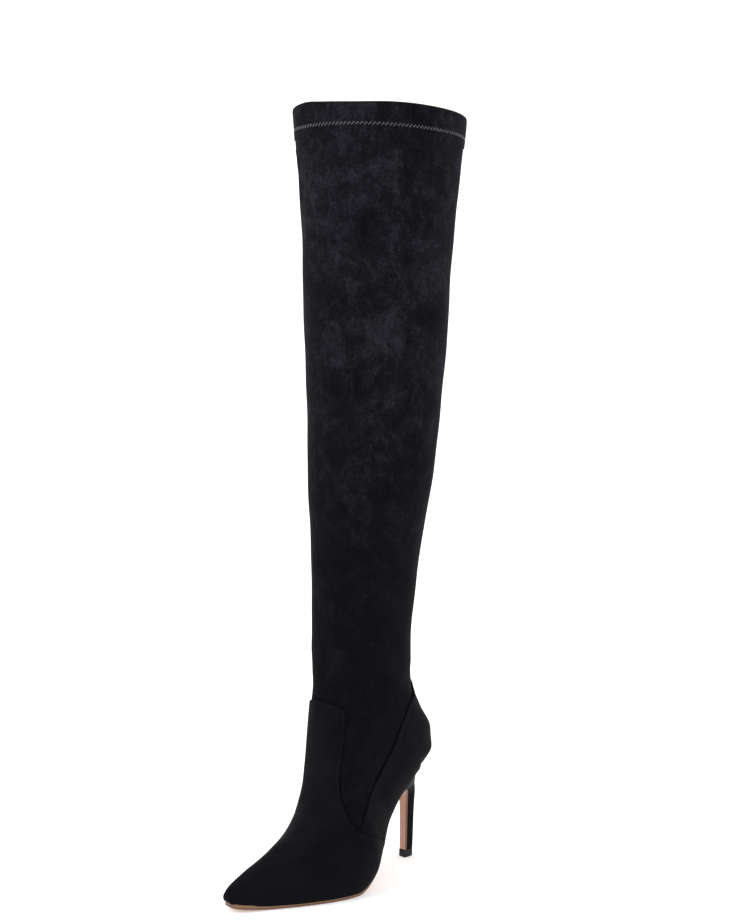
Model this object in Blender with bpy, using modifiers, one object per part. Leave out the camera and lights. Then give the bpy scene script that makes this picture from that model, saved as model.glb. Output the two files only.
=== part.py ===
"""Thigh high stiletto boot for the left foot: stretch shaft, pointed toe, wrapped heel.

Lengths are in metres. The toe points to -Y, the wearer's left is +X and the floor is Z = 0.
Inside the functions a place along the foot is given by u, the distance ahead of the seat's back.
"""
import math

import bmesh
import bpy
from mathutils import Vector

# Sizes of the last
FOOT_LENGTH = 0.2180
BALL_WIDTH = 0.0866
HEEL_HEIGHT = 0.0845
INSTEP_HEIGHT = 0.1770
CUP_HEIGHT = 0.0785
ANKLE_RISE = 0.0350
ANKLE_WIDTH = 0.0740
ANKLE_DEPTH = 0.0993
ANKLE_FRONT = 0.1175

# Sizes of the shaft
BOOT_HEIGHT = 0.6730
COLLAR_DROP = 0.0075
THIGH_WIDTH = 0.1380
THIGH_DEPTH = 0.1590
WALL = 0.0016
HEM_DEPTH = 0.0255
HEM_STEP = 0.0008
HEM_ROLL = 0.0009

# Sizes of the overlays on the foot
OVERLAY = 0.0010
VAMP_HEIGHT = 0.1610
VAMP_HALF_WIDTH = 0.0230
COUNTER_HEIGHT = 0.1700
SEAM_GAP = 0.0005

# Sizes of the bottom
SOLE_THICK = 0.0032
WAIST_THICK = 0.0017
FLAP_THICK = 0.0011
WAIST_RISE = 0.0280
SOLE_MARGIN = 0.0013
SOLE_BEVEL = 0.0007
INSOLE_THICK = 0.0020
INSOLE_EASE = 0.0006
INSOLE_END = 0.75

# Sizes of the heel
TOP_PIECE_HEIGHT = 0.0070
TIP_BACK = 0.0080
TIP_DEPTH = 0.0076
TIP_WIDTH = 0.0092
SEAT_BACK = 0.0026
BREAST_AT = 0.0430
SEAT_WIDTH = 0.0366
HEEL_BAND = 0.0009
TOP_PIECE_BEVEL = 0.0003

# Clearance between pieces that touch
GAP = 0.0003

# Roundness of the leg's rings: 2 is an ellipse
LEG_POWER = 2.1

# How finely the forms are faceted
ARC_LOW = 5
ARC_HIGH = 9
FOOT_STEP = 0.0130
SHAFT_STEP = 0.0300
HEEL_ARC = 9
STEP_SLACK = 0.2
FLAP_TAPER = 3
MERGE = 0.00002

FEATHER_BASE = SOLE_THICK + GAP

# Sections of the foot, from the toe's end to the back of the seat.
# low_at, top_at: places along the foot, shares of FOOT_LENGTH
# low_up: rise of the feather edge, share of the way from the flat forepart to the seat
# top_up: height of the ridge, share of INSTEP_HEIGHT
# outer, inner: greatest half widths; edge_out, edge_in: half widths at the feather; shares of BALL_WIDTH
# wide_at: where the greatest width lies, share of the section's height
# power: 2 is an ellipse; swing: sideways shift of the section, share of BALL_WIDTH
FOOT = [
    dict(low_at=1.000, low_up=0.050, top_at=0.995, top_up=0.080, outer=0.050, inner=0.042,
         edge_out=0.050, edge_in=0.042, wide_at=0.48, power=2.0, swing=-0.068),
    dict(low_at=0.989, low_up=0.046, top_at=0.976, top_up=0.104, outer=0.080, inner=0.064,
         edge_out=0.080, edge_in=0.064, wide_at=0.45, power=2.0, swing=-0.062),
    dict(low_at=0.944, low_up=0.026, top_at=0.924, top_up=0.138, outer=0.148, inner=0.118,
         edge_out=0.140, edge_in=0.110, wide_at=0.42, power=2.0, swing=-0.050),
    dict(low_at=0.855, low_up=0.006, top_at=0.838, top_up=0.182, outer=0.255, inner=0.205,
         edge_out=0.228, edge_in=0.182, wide_at=0.38, power=2.0, swing=-0.024),
    dict(low_at=0.752, low_up=0.000, top_at=0.725, top_up=0.244, outer=0.377, inner=0.305,
         edge_out=0.326, edge_in=0.274, wide_at=0.33, power=2.1, swing=0.007),
    dict(low_at=0.633, low_up=0.000, top_at=0.612, top_up=0.337, outer=0.484, inner=0.412,
         edge_out=0.433, edge_in=0.370, wide_at=0.30, power=2.1, swing=0.029),
    dict(low_at=0.532, low_up=0.006, top_at=0.560, top_up=0.458, outer=0.543, inner=0.457,
         edge_out=0.473, edge_in=0.400, wide_at=0.30, power=2.1, swing=0.041),
    dict(low_at=0.431, low_up=0.098, top_at=0.551, top_up=0.569, outer=0.525, inner=0.464,
         edge_out=0.418, edge_in=0.323, wide_at=0.32, power=2.1, swing=0.038),
    dict(low_at=0.347, low_up=0.308, top_at=0.547, top_up=0.684, outer=0.469, inner=0.446,
         edge_out=0.328, edge_in=0.240, wide_at=0.36, power=2.1, swing=0.014),
    dict(low_at=0.271, low_up=0.572, top_at=0.545, top_up=0.783, outer=0.425, inner=0.425,
         edge_out=0.250, edge_in=0.215, wide_at=0.38, power=2.1, swing=-0.005),
    dict(low_at=0.188, low_up=0.805, top_at=0.546, top_up=0.864, outer=0.416, inner=0.416,
         edge_out=0.225, edge_in=0.220, wide_at=0.40, power=2.1, swing=-0.007),
    dict(low_at=0.110, low_up=0.935, top_at=0.547, top_up=0.923, outer=0.409, inner=0.412,
         edge_out=0.215, edge_in=0.218, wide_at=0.40, power=2.1, swing=-0.008),
    dict(low_at=0.046, low_up=0.988, top_at=0.544, top_up=0.972, outer=0.405, inner=0.409,
         edge_out=0.150, edge_in=0.153, wide_at=0.41, power=2.1, swing=-0.008),
    dict(low_at=0.012, low_up=1.000, top_at=0.544, top_up=1.000, outer=0.405, inner=0.409,
         edge_out=0.000, edge_in=0.000, wide_at=0.42, power=2.1, swing=-0.006),
]

# Rings of the heel cup, from the seat up to the ankle, in the same shares as the foot.
# rise: share of CUP_HEIGHT behind and of ANKLE_RISE in front; the last ring is the ankle itself.
CUP = [
    dict(back_at=-0.026, rise=0.172, front_rise=0.20, front_at=0.545, wide=0.956, swing=-0.004, wide_at=0.44),
    dict(back_at=-0.024, rise=0.400, front_rise=0.43, front_at=0.544, wide=0.967, swing=-0.004, wide_at=0.46),
    dict(back_at=0.034, rise=0.706, front_rise=0.71, front_at=0.541, wide=0.981, swing=-0.004, wide_at=0.48),
]

# Rings of the shaft, from the ankle to the rim.
# rise, front_rise: shares of the way from the ankle to the rim, behind and in front
# wider, deeper: shares of the growth from the ankle's to the thigh's width and depth
# ahead: place of the front line before the ankle's, share of the growth in depth
SHAFT = [
    dict(rise=0.000, front_rise=0.000, wider=0.000, deeper=0.000, ahead=0.000),
    dict(rise=0.084, front_rise=0.052, wider=0.025, deeper=-0.035, ahead=-0.018),
    dict(rise=0.253, front_rise=0.191, wider=0.266, deeper=0.062, ahead=-0.059),
    dict(rise=0.422, front_rise=0.360, wider=0.506, deeper=0.313, ahead=-0.059),
    dict(rise=0.591, front_rise=0.539, wider=0.662, deeper=0.493, ahead=-0.042),
    dict(rise=0.790, front_rise=0.757, wider=0.780, deeper=0.665, ahead=-0.008),
    dict(rise=1.000, front_rise=1.000, wider=1.000, deeper=1.000, ahead=0.109),
]

# Rings of the heel, from its tip to the seat.
# front: share of the way from the tip's front to the breast line; back: from the tip's back to the seat's
# spread: share of the way from the tip's half width to the seat's
# front_up, back_up: shares of HEEL_HEIGHT
HEEL = [
    dict(front=0.02, back=0.05, spread=0.03, front_up=0.414, back_up=0.414),
    dict(front=0.04, back=0.15, spread=0.08, front_up=0.615, back_up=0.615),
    dict(front=0.08, back=0.30, spread=0.15, front_up=0.704, back_up=0.722),
    dict(front=0.18, back=0.50, spread=0.34, front_up=0.763, back_up=0.817),
    dict(front=0.38, back=0.72, spread=0.61, front_up=0.797, back_up=0.899),
    dict(front=0.70, back=0.90, spread=0.88, front_up=0.800, back_up=0.962),
]
HEEL_POWER = 2.4
HEEL_SPINE = 0.06

# Edge of the vamp seen from the front, right half, top to bottom.
# across: share of VAMP_HALF_WIDTH; up: share of VAMP_HEIGHT
VAMP_FRONT = [
    dict(across=0.00, up=1.000),
    dict(across=0.35, up=0.998),
    dict(across=0.70, up=0.980),
    dict(across=0.92, up=0.955),
    dict(across=1.00, up=0.925),
    dict(across=1.00, up=0.780),
    dict(across=1.04, up=0.660),
    dict(across=1.10, up=0.570),
    dict(across=1.24, up=0.505),
    dict(across=1.48, up=0.445),
    dict(across=1.78, up=0.395),
    dict(across=2.05, up=0.362),
    dict(across=2.80, up=0.345),
]

# Foot of the vamp's seam seen from the side, front to back: shares of FOOT_LENGTH and VAMP_HEIGHT.
VAMP_SIDE = [
    dict(at=0.552, up=0.372),
    dict(at=0.525, up=0.340),
    dict(at=0.485, up=0.316),
    dict(at=0.420, up=0.278),
    dict(at=0.362, up=0.242),
]
VAMP_END = 0.328
VAMP_REAR = 0.460
VAMP_INNER = 0.42
TOE_NOSE = 0.0010

# Front seam of the counter seen from the side, top to bottom: shares of FOOT_LENGTH and COUNTER_HEIGHT.
COUNTER_SIDE = [
    dict(at=-0.120, up=1.060),
    dict(at=0.087, up=1.000),
    dict(at=0.206, up=0.900),
    dict(at=0.247, up=0.806),
    dict(at=0.278, up=0.722),
    dict(at=0.330, up=0.644),
    dict(at=0.403, up=0.536),
    dict(at=0.452, up=0.474),
    dict(at=0.495, up=0.412),
    dict(at=0.520, up=0.358),
]


def between(a, b, share):
    """The value a share of the way from a to b."""
    return a + (b - a) * share


def foot_rows():
    """The foot's sections in metres, in the order that section_points reads."""
    rows = []
    for s in FOOT:
        rows.append((
            s["low_at"] * FOOT_LENGTH,
            between(FEATHER_BASE, HEEL_HEIGHT, s["low_up"]),
            s["top_at"] * FOOT_LENGTH,
            s["top_up"] * INSTEP_HEIGHT,
            s["outer"] * BALL_WIDTH,
            s["inner"] * BALL_WIDTH,
            s["edge_out"] * BALL_WIDTH,
            s["edge_in"] * BALL_WIDTH,
            s["wide_at"],
            s["power"],
            s["swing"] * BALL_WIDTH,
        ))
    return rows


def cup_rows():
    """The heel cup's rings in metres, closed behind."""
    rows = []
    for s in CUP:
        half = s["wide"] * ANKLE_WIDTH / 2
        rows.append((
            s["back_at"] * FOOT_LENGTH,
            HEEL_HEIGHT + s["rise"] * CUP_HEIGHT,
            s["front_at"] * FOOT_LENGTH,
            INSTEP_HEIGHT + s["front_rise"] * ANKLE_RISE,
            half, half, 0.0, 0.0, s["wide_at"], LEG_POWER,
            s["swing"] * BALL_WIDTH,
        ))
    return rows


def shaft_rows():
    """The shaft's rings in metres, from the ankle to the rim."""
    back_low = HEEL_HEIGHT + CUP_HEIGHT
    front_low = INSTEP_HEIGHT + ANKLE_RISE
    growth = THIGH_DEPTH - ANKLE_DEPTH
    rows = []
    for s in SHAFT:
        front = ANKLE_FRONT + s["ahead"] * growth
        half = between(ANKLE_WIDTH, THIGH_WIDTH, s["wider"]) / 2
        rows.append((
            front - between(ANKLE_DEPTH, THIGH_DEPTH, s["deeper"]),
            between(back_low, BOOT_HEIGHT - COLLAR_DROP, s["rise"]),
            front,
            between(front_low, BOOT_HEIGHT, s["front_rise"]),
            half, half, 0.0, 0.0, 0.5, LEG_POWER, 0.0,
        ))
    return rows


def lengths_along(rows):
    """Running mean length of the low and top lines, one value a row."""
    run = [0.0]
    for a, b in zip(rows, rows[1:]):
        low = math.hypot(b[0] - a[0], b[1] - a[1])
        top = math.hypot(b[2] - a[2], b[3] - a[3])
        run.append(run[-1] + (low + top) / 2 + MERGE)
    return run


def slope(run, values, k):
    """Slope at row k that lets the curve pass its rows without overshooting."""
    last = len(values) - 1
    if k == 0:
        return (values[1] - values[0]) / (run[1] - run[0])
    if k == last:
        return (values[last] - values[last - 1]) / (run[last] - run[last - 1])
    before = (values[k] - values[k - 1]) / (run[k] - run[k - 1])
    after = (values[k + 1] - values[k]) / (run[k + 1] - run[k])
    if before * after <= 0:
        return 0.0
    near, far = run[k] - run[k - 1], run[k + 1] - run[k]
    w1, w2 = 2 * far + near, far + 2 * near
    return (w1 + w2) / (w1 / before + w2 / after)


def read_rows(rows, run, t):
    """The section at running length t, on a smooth curve through every column."""
    k = max(i for i in range(len(run) - 1) if run[i] <= t or i == 0)
    h = run[k + 1] - run[k]
    s = (t - run[k]) / h
    out = []
    for column in zip(*rows):
        a, b = column[k], column[k + 1]
        ga, gb = slope(run, column, k), slope(run, column, k + 1)
        out.append(
            (2 * s**3 - 3 * s**2 + 1) * a
            + (s**3 - 2 * s**2 + s) * h * ga
            + (3 * s**2 - 2 * s**3) * b
            + (s**3 - s**2) * h * gb
        )
    return tuple(out)


def upper_sections():
    """All sections of the upper from toe to rim, and how many of them have an open feather."""
    foot = foot_rows()
    ring = cup_rows()
    shaft = shaft_rows()
    rows = foot + ring + shaft
    run = lengths_along(rows)
    seat, ankle = len(foot) - 1, len(foot) + len(ring)
    places = []
    for k in range(len(rows) - 1):
        span = run[k + 1] - run[k]
        steps = max(1, math.ceil(span / (FOOT_STEP if k < ankle else SHAFT_STEP) - STEP_SLACK))
        places += [run[k] + span * i / steps for i in range(steps)]
    feather = sum(1 for t in places if t <= run[seat] + MERGE)
    rim = run[-1]
    places = [t for t in places if t < rim - HEM_DEPTH - HEM_STEP]
    sections = [read_rows(rows, run, t) for t in places]
    for below, proud in ((HEM_DEPTH + HEM_STEP, 0.0), (HEM_DEPTH, HEM_STEP), (HEM_DEPTH / 2, HEM_STEP),
                         (HEM_ROLL, HEM_STEP), (0.0, HEM_STEP - HEM_ROLL / 2)):
        sections.append(widened(read_rows(rows, run, rim - below), proud))
    return sections, feather


def widened(row, by):
    """A closed ring made larger all round."""
    low_u, low_z, top_u, top_z, outer, inner = row[:6]
    return (low_u - by, low_z, top_u + by, top_z, outer + by, inner + by) + row[6:]


def section_points(row):
    """One section as points from the outer feather edge, over the ridge, to the inner one."""
    low_u, low_z, top_u, top_z, outer, inner, edge_out, edge_in, wide_at, power, swing = row
    tall = math.hypot(top_u - low_u, top_z - low_z)
    du, dz = ((top_u - low_u) / tall, (top_z - low_z) / tall) if tall > MERGE else (0.0, 1.0)
    sides = []
    for side, half, edge in ((1, outer, edge_out), (-1, inner, edge_in)):
        edge = max(0.0, edge)
        arc = []
        for k in range(ARC_LOW + 1):
            a = math.pi / 2 * (1 - k / ARC_LOW)
            arc.append((edge + (half - edge) * math.cos(a), wide_at * tall * (1 - math.sin(a))))
        for k in range(1, ARC_HIGH + 1):
            a = math.pi / 2 * k / ARC_HIGH
            arc.append((half * max(0.0, math.cos(a)) ** (2 / power),
                        tall * (wide_at + (1 - wide_at) * math.sin(a) ** (2 / power))))
        sides.append([(side * x + swing, q) for x, q in arc])
    outline = sides[0] + sides[1][-2::-1]
    return [(x, low_u + q * du, low_z + q * dz) for x, q in outline]


def centre_u():
    """The u of the middle of the boot's length, which the origin stands under."""
    shaft = shaft_rows()[-1]
    return (FOOT_LENGTH + OVERLAY + GAP + shaft[0] - HEM_STEP) / 2


ORIGIN_U = centre_u()


def place(x, u, z):
    """A point of the boot in the part's frame."""
    return Vector((x, ORIGIN_U - u, z))


def collections():
    """The collection of the boot's pieces and the one of the forms that cut them."""
    made = []
    for name in ("thigh_high_boot", "cutters"):
        group = bpy.data.collections.new(name)
        bpy.context.scene.collection.children.link(group)
        made.append(group)
    return made


def material(name, colour, roughness, metallic=0.0):
    """A plain material with the piece's colour and gloss."""
    mat = bpy.data.materials.new(name)
    mat.use_nodes = True
    shader = mat.node_tree.nodes["Principled BSDF"]
    shader.inputs["Base Color"].default_value = (*colour, 1.0)
    shader.inputs["Roughness"].default_value = roughness
    shader.inputs["Metallic"].default_value = metallic
    return mat


def add_object(name, bm, group, mat=None, smooth_angle=40):
    """A named object from a bmesh, in its collection, shaded smooth up to an angle."""
    mesh = bpy.data.meshes.new(name)
    bm.to_mesh(mesh)
    bm.free()
    obj = bpy.data.objects.new(name, mesh)
    group.objects.link(obj)
    if mat:
        mesh.materials.append(mat)
        mesh.shade_smooth()
        mesh.set_sharp_from_angle(angle=math.radians(smooth_angle))
    return obj


def loft_sheet(rings):
    """A sheet of triangles over rows of points, closed in front by the first row."""
    bm = bmesh.new()
    grid = [[bm.verts.new(place(*p)) for p in ring] for ring in rings]
    for a, b in zip(grid, grid[1:]):
        for k in range(len(a) - 1):
            bm.faces.new((a[k], b[k], b[k + 1], a[k + 1]))
    nose = grid[0]
    for k in range(len(nose) // 2):
        corners = (nose[k], nose[k + 1], nose[-2 - k], nose[-1 - k])
        bm.faces.new(list(dict.fromkeys(corners)))
    bmesh.ops.remove_doubles(bm, verts=bm.verts, dist=MERGE)
    bmesh.ops.triangulate(bm, faces=bm.faces, quad_method="FIXED")
    bm.normal_update()
    return bm


def loft_solid(rings):
    """A closed solid through closed rings with as many points each; its ends are ruled across."""
    bm = bmesh.new()
    grid = [[bm.verts.new(place(*p)) for p in ring] for ring in rings]
    count = len(grid[0])
    for a, b in zip(grid, grid[1:]):
        for k in range(count):
            bm.faces.new((a[k], a[(k + 1) % count], b[(k + 1) % count], b[k]))
    for ring in (grid[0], grid[-1]):
        for k in range(count // 2 - 1):
            corners = [ring[k], ring[k + 1], ring[count - 2 - k], ring[count - 1 - k]]
            bm.faces.new(list(dict.fromkeys(corners)))
    bmesh.ops.remove_doubles(bm, verts=bm.verts, dist=MERGE)
    bmesh.ops.triangulate(bm, faces=bm.faces)
    bmesh.ops.recalc_face_normals(bm, faces=bm.faces)
    return bm


def solidify(obj, thickness, offset):
    """Gives a sheet its wall: offset -1 grows it inwards, 1 outwards."""
    mod = obj.modifiers.new("wall", "SOLIDIFY")
    mod.thickness = thickness
    mod.offset = offset


def prism(name, outline, along, reach, group):
    """A cutter with the given outline, seen along X (u, z) or along Y (x, z), reaching both ways."""
    bm = bmesh.new()
    if along == "X":
        verts = [bm.verts.new(place(-reach, u, z)) for u, z in outline]
        step = Vector((2 * reach, 0, 0))
    else:
        verts = [bm.verts.new((x, -reach, z)) for x, z in outline]
        step = Vector((0, 2 * reach, 0))
    face = bm.faces.new(verts)
    out = bmesh.ops.extrude_face_region(bm, geom=[face])
    bmesh.ops.translate(bm, verts=[v for v in out["geom"] if isinstance(v, bmesh.types.BMVert)], vec=step)
    bmesh.ops.recalc_face_normals(bm, faces=bm.faces)
    obj = add_object(name, bm, group)
    obj.hide_render = True
    obj.display_type = "WIRE"
    return obj


def cut_to(obj, cutter):
    """Keeps of a piece only what lies inside the cutter."""
    mod = obj.modifiers.new("cut_" + cutter.name, "BOOLEAN")
    mod.operation = "INTERSECT"
    mod.solver = "EXACT"
    mod.object = cutter


def line_normals(line):
    """Unit normals of a line in the side view, on its left when it runs from toe to heel: upwards."""
    out = []
    for k in range(len(line)):
        a, b = line[max(0, k - 1)], line[min(len(line) - 1, k + 1)]
        du, dz = b[0] - a[0], b[1] - a[1]
        size = math.hypot(du, dz)
        out.append((dz / size, -du / size))
    return out


def shifted(line, by):
    """A side view line moved along its normals."""
    return [(u + nu * by, z + nz * by) for (u, z), (nu, nz) in zip(line, line_normals(line))]


def feather_line(sections, feather):
    """The feather edge in the side view, from the toe's end to the back of the seat."""
    return [(row[0], row[1]) for row in sections[:feather]]


def height_on(line, u):
    """Height of a side view line at u."""
    for (ua, za), (ub, zb) in zip(line, line[1:]):
        if ub <= u <= ua:
            return between(za, zb, (ua - u) / (ua - ub))
    return line[0][1] if u > line[0][0] else line[-1][1]


def make_upper(sections, group, mat):
    """Hollow shaft and foot in one wall, open at the rim and underneath."""
    obj = add_object("upper", loft_sheet([section_points(r) for r in sections]), group, mat)
    solidify(obj, WALL, -1)
    return obj


def make_overlay(name, sections, cutters, group, mat):
    """A panel of the foot, cut out of a shell that lies on the upper."""
    count = sum(1 for row in sections if row[1] < VAMP_HEIGHT + ANKLE_RISE)
    bm = loft_sheet([section_points(r) for r in sections[:count]])
    for vert in bm.verts:
        vert.co += vert.normal * GAP
    obj = add_object(name, bm, group, mat)
    solidify(obj, OVERLAY, 1)
    for cutter in cutters:
        cut_to(obj, cutter)
    return obj


def vamp_side_edge(feather):
    """Foot of the vamp's seam in the side view, down to the feather edge."""
    edge = [(s["at"] * FOOT_LENGTH, s["up"] * VAMP_HEIGHT) for s in VAMP_SIDE]
    end = VAMP_END * FOOT_LENGTH
    return edge + [(end, height_on(feather, end))]


def vamp_cutters(feather, group):
    """The vamp's edge from the front and from the side."""
    reach = 2 * FOOT_LENGTH
    front = []
    for side, flare in ((1, 1.0), (-1, VAMP_INNER)):
        half = []
        for s in VAMP_FRONT:
            across = min(s["across"], 1.0) + flare * max(0.0, s["across"] - 1.0)
            half.append((side * across * VAMP_HALF_WIDTH, s["up"] * VAMP_HEIGHT))
        half.append((half[-1][0], -SOLE_THICK))
        front += half if side == 1 else half[:0:-1]
    edge = vamp_side_edge(feather)
    rear = VAMP_REAR * FOOT_LENGTH
    nose = FOOT_LENGTH - TOE_NOSE
    bottom = [p for p in feather if edge[-1][0] < p[0] < nose]
    side = [(reach, 2 * VAMP_HEIGHT), (rear, 2 * VAMP_HEIGHT), (rear, edge[0][1] + OVERLAY)]
    side += edge + bottom[::-1] + [(reach, bottom[0][1])]
    return [prism("vamp_front", front, "Y", reach, group), prism("vamp_side", side, "X", reach, group)]


def counter_cutter(feather, group):
    """The counter's edge from the side; it butts against the foot of the vamp."""
    edge = [(s["at"] * FOOT_LENGTH, s["up"] * COUNTER_HEIGHT) for s in COUNTER_SIDE]
    butt = [(u - SEAM_GAP, z + SEAM_GAP) for u, z in vamp_side_edge(feather)]
    butt[-1] = (butt[-1][0], height_on(feather, butt[-1][0]))
    last = edge[-1][0]
    butt = [(last, height_on(butt, last))] + [p for p in butt if p[0] < last]
    bottom = [p for p in feather if p[0] < butt[-1][0]]
    back = -FOOT_LENGTH / 2
    edge[-1] = (last, max(edge[-1][1], butt[0][1] + SEAM_GAP))
    side = edge + butt + bottom + [(back, bottom[-1][1])]
    return prism("counter_side", side, "X", 2 * FOOT_LENGTH, group)


def heel_rings():
    """The heel's rings as (front u, front z, back u, back z, half width), tip first, seat left out."""
    tip_front = TIP_BACK + TIP_DEPTH
    bottom = TOP_PIECE_HEIGHT + GAP
    rings = [(tip_front, bottom, TIP_BACK, bottom, TIP_WIDTH / 2)]
    for s in HEEL:
        rings.append((
            between(tip_front, BREAST_AT, s["front"]),
            s["front_up"] * HEEL_HEIGHT,
            between(TIP_BACK, SEAT_BACK, s["back"]),
            s["back_up"] * HEEL_HEIGHT,
            between(TIP_WIDTH, SEAT_WIDTH, s["spread"]) / 2,
        ))
    return rings


def d_ring(front, back, half, height):
    """A ring with a flat front and a round back; height(u, share) gives its z."""
    side = []
    for k in range(HEEL_ARC + 1):
        a = math.pi / 2 * k / HEEL_ARC
        share = math.sin(a) ** (2 / HEEL_POWER)
        side.append((half * max(0.0, math.cos(a)) ** (2 / HEEL_POWER), between(front, back, share), share))
    side[-1] = (half * HEEL_SPINE, side[-1][1], 1.0)
    points = [(x, u, height(u, share)) for x, u, share in side]
    return points + [(-x, u, z) for x, u, z in reversed(points)]


def make_heel(seat, group, mat):
    """Wrapped stiletto: a D section that widens like a trumpet under the seat."""
    rings = []
    for front, front_z, back, back_z, half in heel_rings():
        rings.append(d_ring(front, back, half, lambda u, s, a=front_z, b=back_z: between(a, b, s)))
    half = SEAT_WIDTH / 2
    for below in (HEEL_BAND, 0.0):
        rings.append(d_ring(BREAST_AT, SEAT_BACK, half, lambda u, s, d=below: height_on(seat, u) - d))
    return add_object("heel", loft_solid(rings), group, mat)


def make_top_piece(group, mat):
    """Wear tip under the heel and the end of the sole's flap."""
    front = TIP_BACK + TIP_DEPTH + GAP + FLAP_THICK
    bevel = TOP_PIECE_BEVEL
    rings = []
    for z, inset in ((0.0, bevel), (bevel, 0.0), (TOP_PIECE_HEIGHT - bevel, 0.0), (TOP_PIECE_HEIGHT, bevel)):
        rings.append(d_ring(front - inset, TIP_BACK + inset, TIP_WIDTH / 2 - inset, lambda u, s, z=z: z))
    return add_object("top_piece", loft_solid(rings), group, mat)


def plate(top, outer, inner, thick, bevel):
    """A closed band that follows a side view line, with its underside's edges bevelled."""
    rings = []
    for (u, z), (nu, nz), a, b, t in zip(top, line_normals(top), outer, inner, thick):
        cut = min(bevel, t / 2)
        ring = []
        for x, down in ((a, 0.0), (a, t - cut), (a - cut, t), (b + cut, t), (b, t - cut), (b, 0.0)):
            ring.append((x, u - nu * down, z - nz * down))
        rings.append(ring)
    return loft_solid(rings)


def make_outsole(sections, feather, seat, group, mat):
    """Sole in one sweep: toe, ball, arched waist, and a flap down the front of the heel."""
    heel = heel_rings()
    rows = [r for r in sections[:feather] if r[0] > BREAST_AT + SOLE_THICK]
    line = feather_line(rows, len(rows))
    top = shifted(feather_line(sections, feather), -GAP)[:len(rows)]
    outer = [r[10] + r[6] + SOLE_MARGIN for r in rows]
    inner = [r[10] - r[7] - SOLE_MARGIN for r in rows]
    thick = []
    for u, z in line:
        share = min(1.0, (z - FEATHER_BASE) / WAIST_RISE) if u < FOOT_LENGTH / 2 else 0.0
        thick.append(between(SOLE_THICK, WAIST_THICK, share))
    breast = [(BREAST_AT, height_on(seat, BREAST_AT) - HEEL_BAND, SEAT_WIDTH / 2)]
    breast += [(front, front_z, half) for front, front_z, _, _, half in reversed(heel)]
    flap = shifted([(u, z) for u, z, _ in breast], -GAP)
    flap[-1] = (flap[-1][0], TOP_PIECE_HEIGHT + GAP)
    top += flap
    outer += [half for _, _, half in breast]
    inner += [-half for _, _, half in breast]
    thick += [between(WAIST_THICK, FLAP_THICK, min(1.0, k / FLAP_TAPER)) for k in range(len(breast))]
    return add_object("outsole", plate(top, outer, inner, thick, SOLE_BEVEL), group, mat)


def insole_inset(points):
    """How far the insole stays inside the feather edge; more where the wall stands straight up."""
    a, b = points[0], points[1]
    out = abs(b[0] - a[0])
    up = math.hypot(b[1] - a[1], b[2] - a[2])
    return INSOLE_EASE + WALL * up / math.hypot(out, up)


def make_insole(sections, feather, group, mat):
    """Thin board that closes the upper's floor from toe to seat."""
    nose = FOOT_LENGTH - 2 * WALL
    rows = [r for r in sections[:feather] if min(r[6], r[7]) > WALL + INSOLE_EASE and r[0] < nose]
    line = feather_line(sections, feather)
    start = sections.index(rows[0])
    top = shifted(line, INSOLE_THICK)[start:start + len(rows)]
    outer = [r[10] + r[6] - insole_inset(section_points(r)) for r in rows]
    inner = [r[10] - r[7] + insole_inset(section_points(r)[::-1]) for r in rows]
    outer[-1] *= INSOLE_END
    inner[-1] *= INSOLE_END
    thick = [INSOLE_THICK] * len(rows)
    return add_object("insole", plate(top, outer, inner, thick, INSOLE_EASE), group, mat)


def build():
    """Clears the scene and makes every piece of the boot."""
    for obj in list(bpy.data.objects):
        bpy.data.objects.remove(obj, do_unlink=True)
    pieces, cutters = collections()
    suede = material("stretch_suede", (0.016, 0.016, 0.020), 0.95)
    foot_suede = material("foot_suede", (0.020, 0.020, 0.024), 0.9)
    wrap = material("heel_wrap", (0.012, 0.012, 0.014), 0.5)
    rubber = material("top_piece_rubber", (0.02, 0.02, 0.022), 0.6)
    sole_tan = material("sole_tan", (0.50, 0.27, 0.15), 0.45)
    board = material("insole_board", (0.45, 0.32, 0.22), 0.7)
    sections, feather = upper_sections()
    line = feather_line(sections, feather)
    seat = shifted(line, -GAP)
    make_upper(sections, pieces, suede)
    make_overlay("vamp", sections, vamp_cutters(line, cutters), pieces, foot_suede)
    make_overlay("counter", sections, [counter_cutter(line, cutters)], pieces, foot_suede)
    make_outsole(sections, feather, seat, pieces, sole_tan)
    make_heel(seat, pieces, wrap)
    make_top_piece(pieces, rubber)
    make_insole(sections, feather, pieces, board)


build()
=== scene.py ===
"""Looks of the thigh high stiletto boot: suede, seams, stitches, sole edge and heel wrap.

Metres, in the part's frame: the toe points to -Y, the wearer's left is +X, the floor is Z = 0.
A place along the foot is given by u, the distance ahead of the back of the seat.
"""
import math

import bmesh
import bpy
import numpy as np
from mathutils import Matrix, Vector
from mathutils.bvhtree import BVHTree


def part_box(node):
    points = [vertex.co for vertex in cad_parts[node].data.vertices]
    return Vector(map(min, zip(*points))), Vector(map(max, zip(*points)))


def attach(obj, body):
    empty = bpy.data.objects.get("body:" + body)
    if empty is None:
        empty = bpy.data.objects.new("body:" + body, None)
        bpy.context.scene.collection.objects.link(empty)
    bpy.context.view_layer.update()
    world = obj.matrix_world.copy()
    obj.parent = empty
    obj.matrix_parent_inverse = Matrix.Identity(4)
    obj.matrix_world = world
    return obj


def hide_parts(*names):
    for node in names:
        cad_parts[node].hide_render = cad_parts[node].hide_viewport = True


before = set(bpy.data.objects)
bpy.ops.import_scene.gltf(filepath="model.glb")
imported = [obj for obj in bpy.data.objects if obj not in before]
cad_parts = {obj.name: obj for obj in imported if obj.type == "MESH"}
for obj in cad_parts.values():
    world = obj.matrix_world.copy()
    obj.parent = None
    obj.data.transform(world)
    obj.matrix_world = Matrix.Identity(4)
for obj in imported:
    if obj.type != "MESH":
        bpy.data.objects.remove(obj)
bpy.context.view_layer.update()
MM = 0.001

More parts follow.
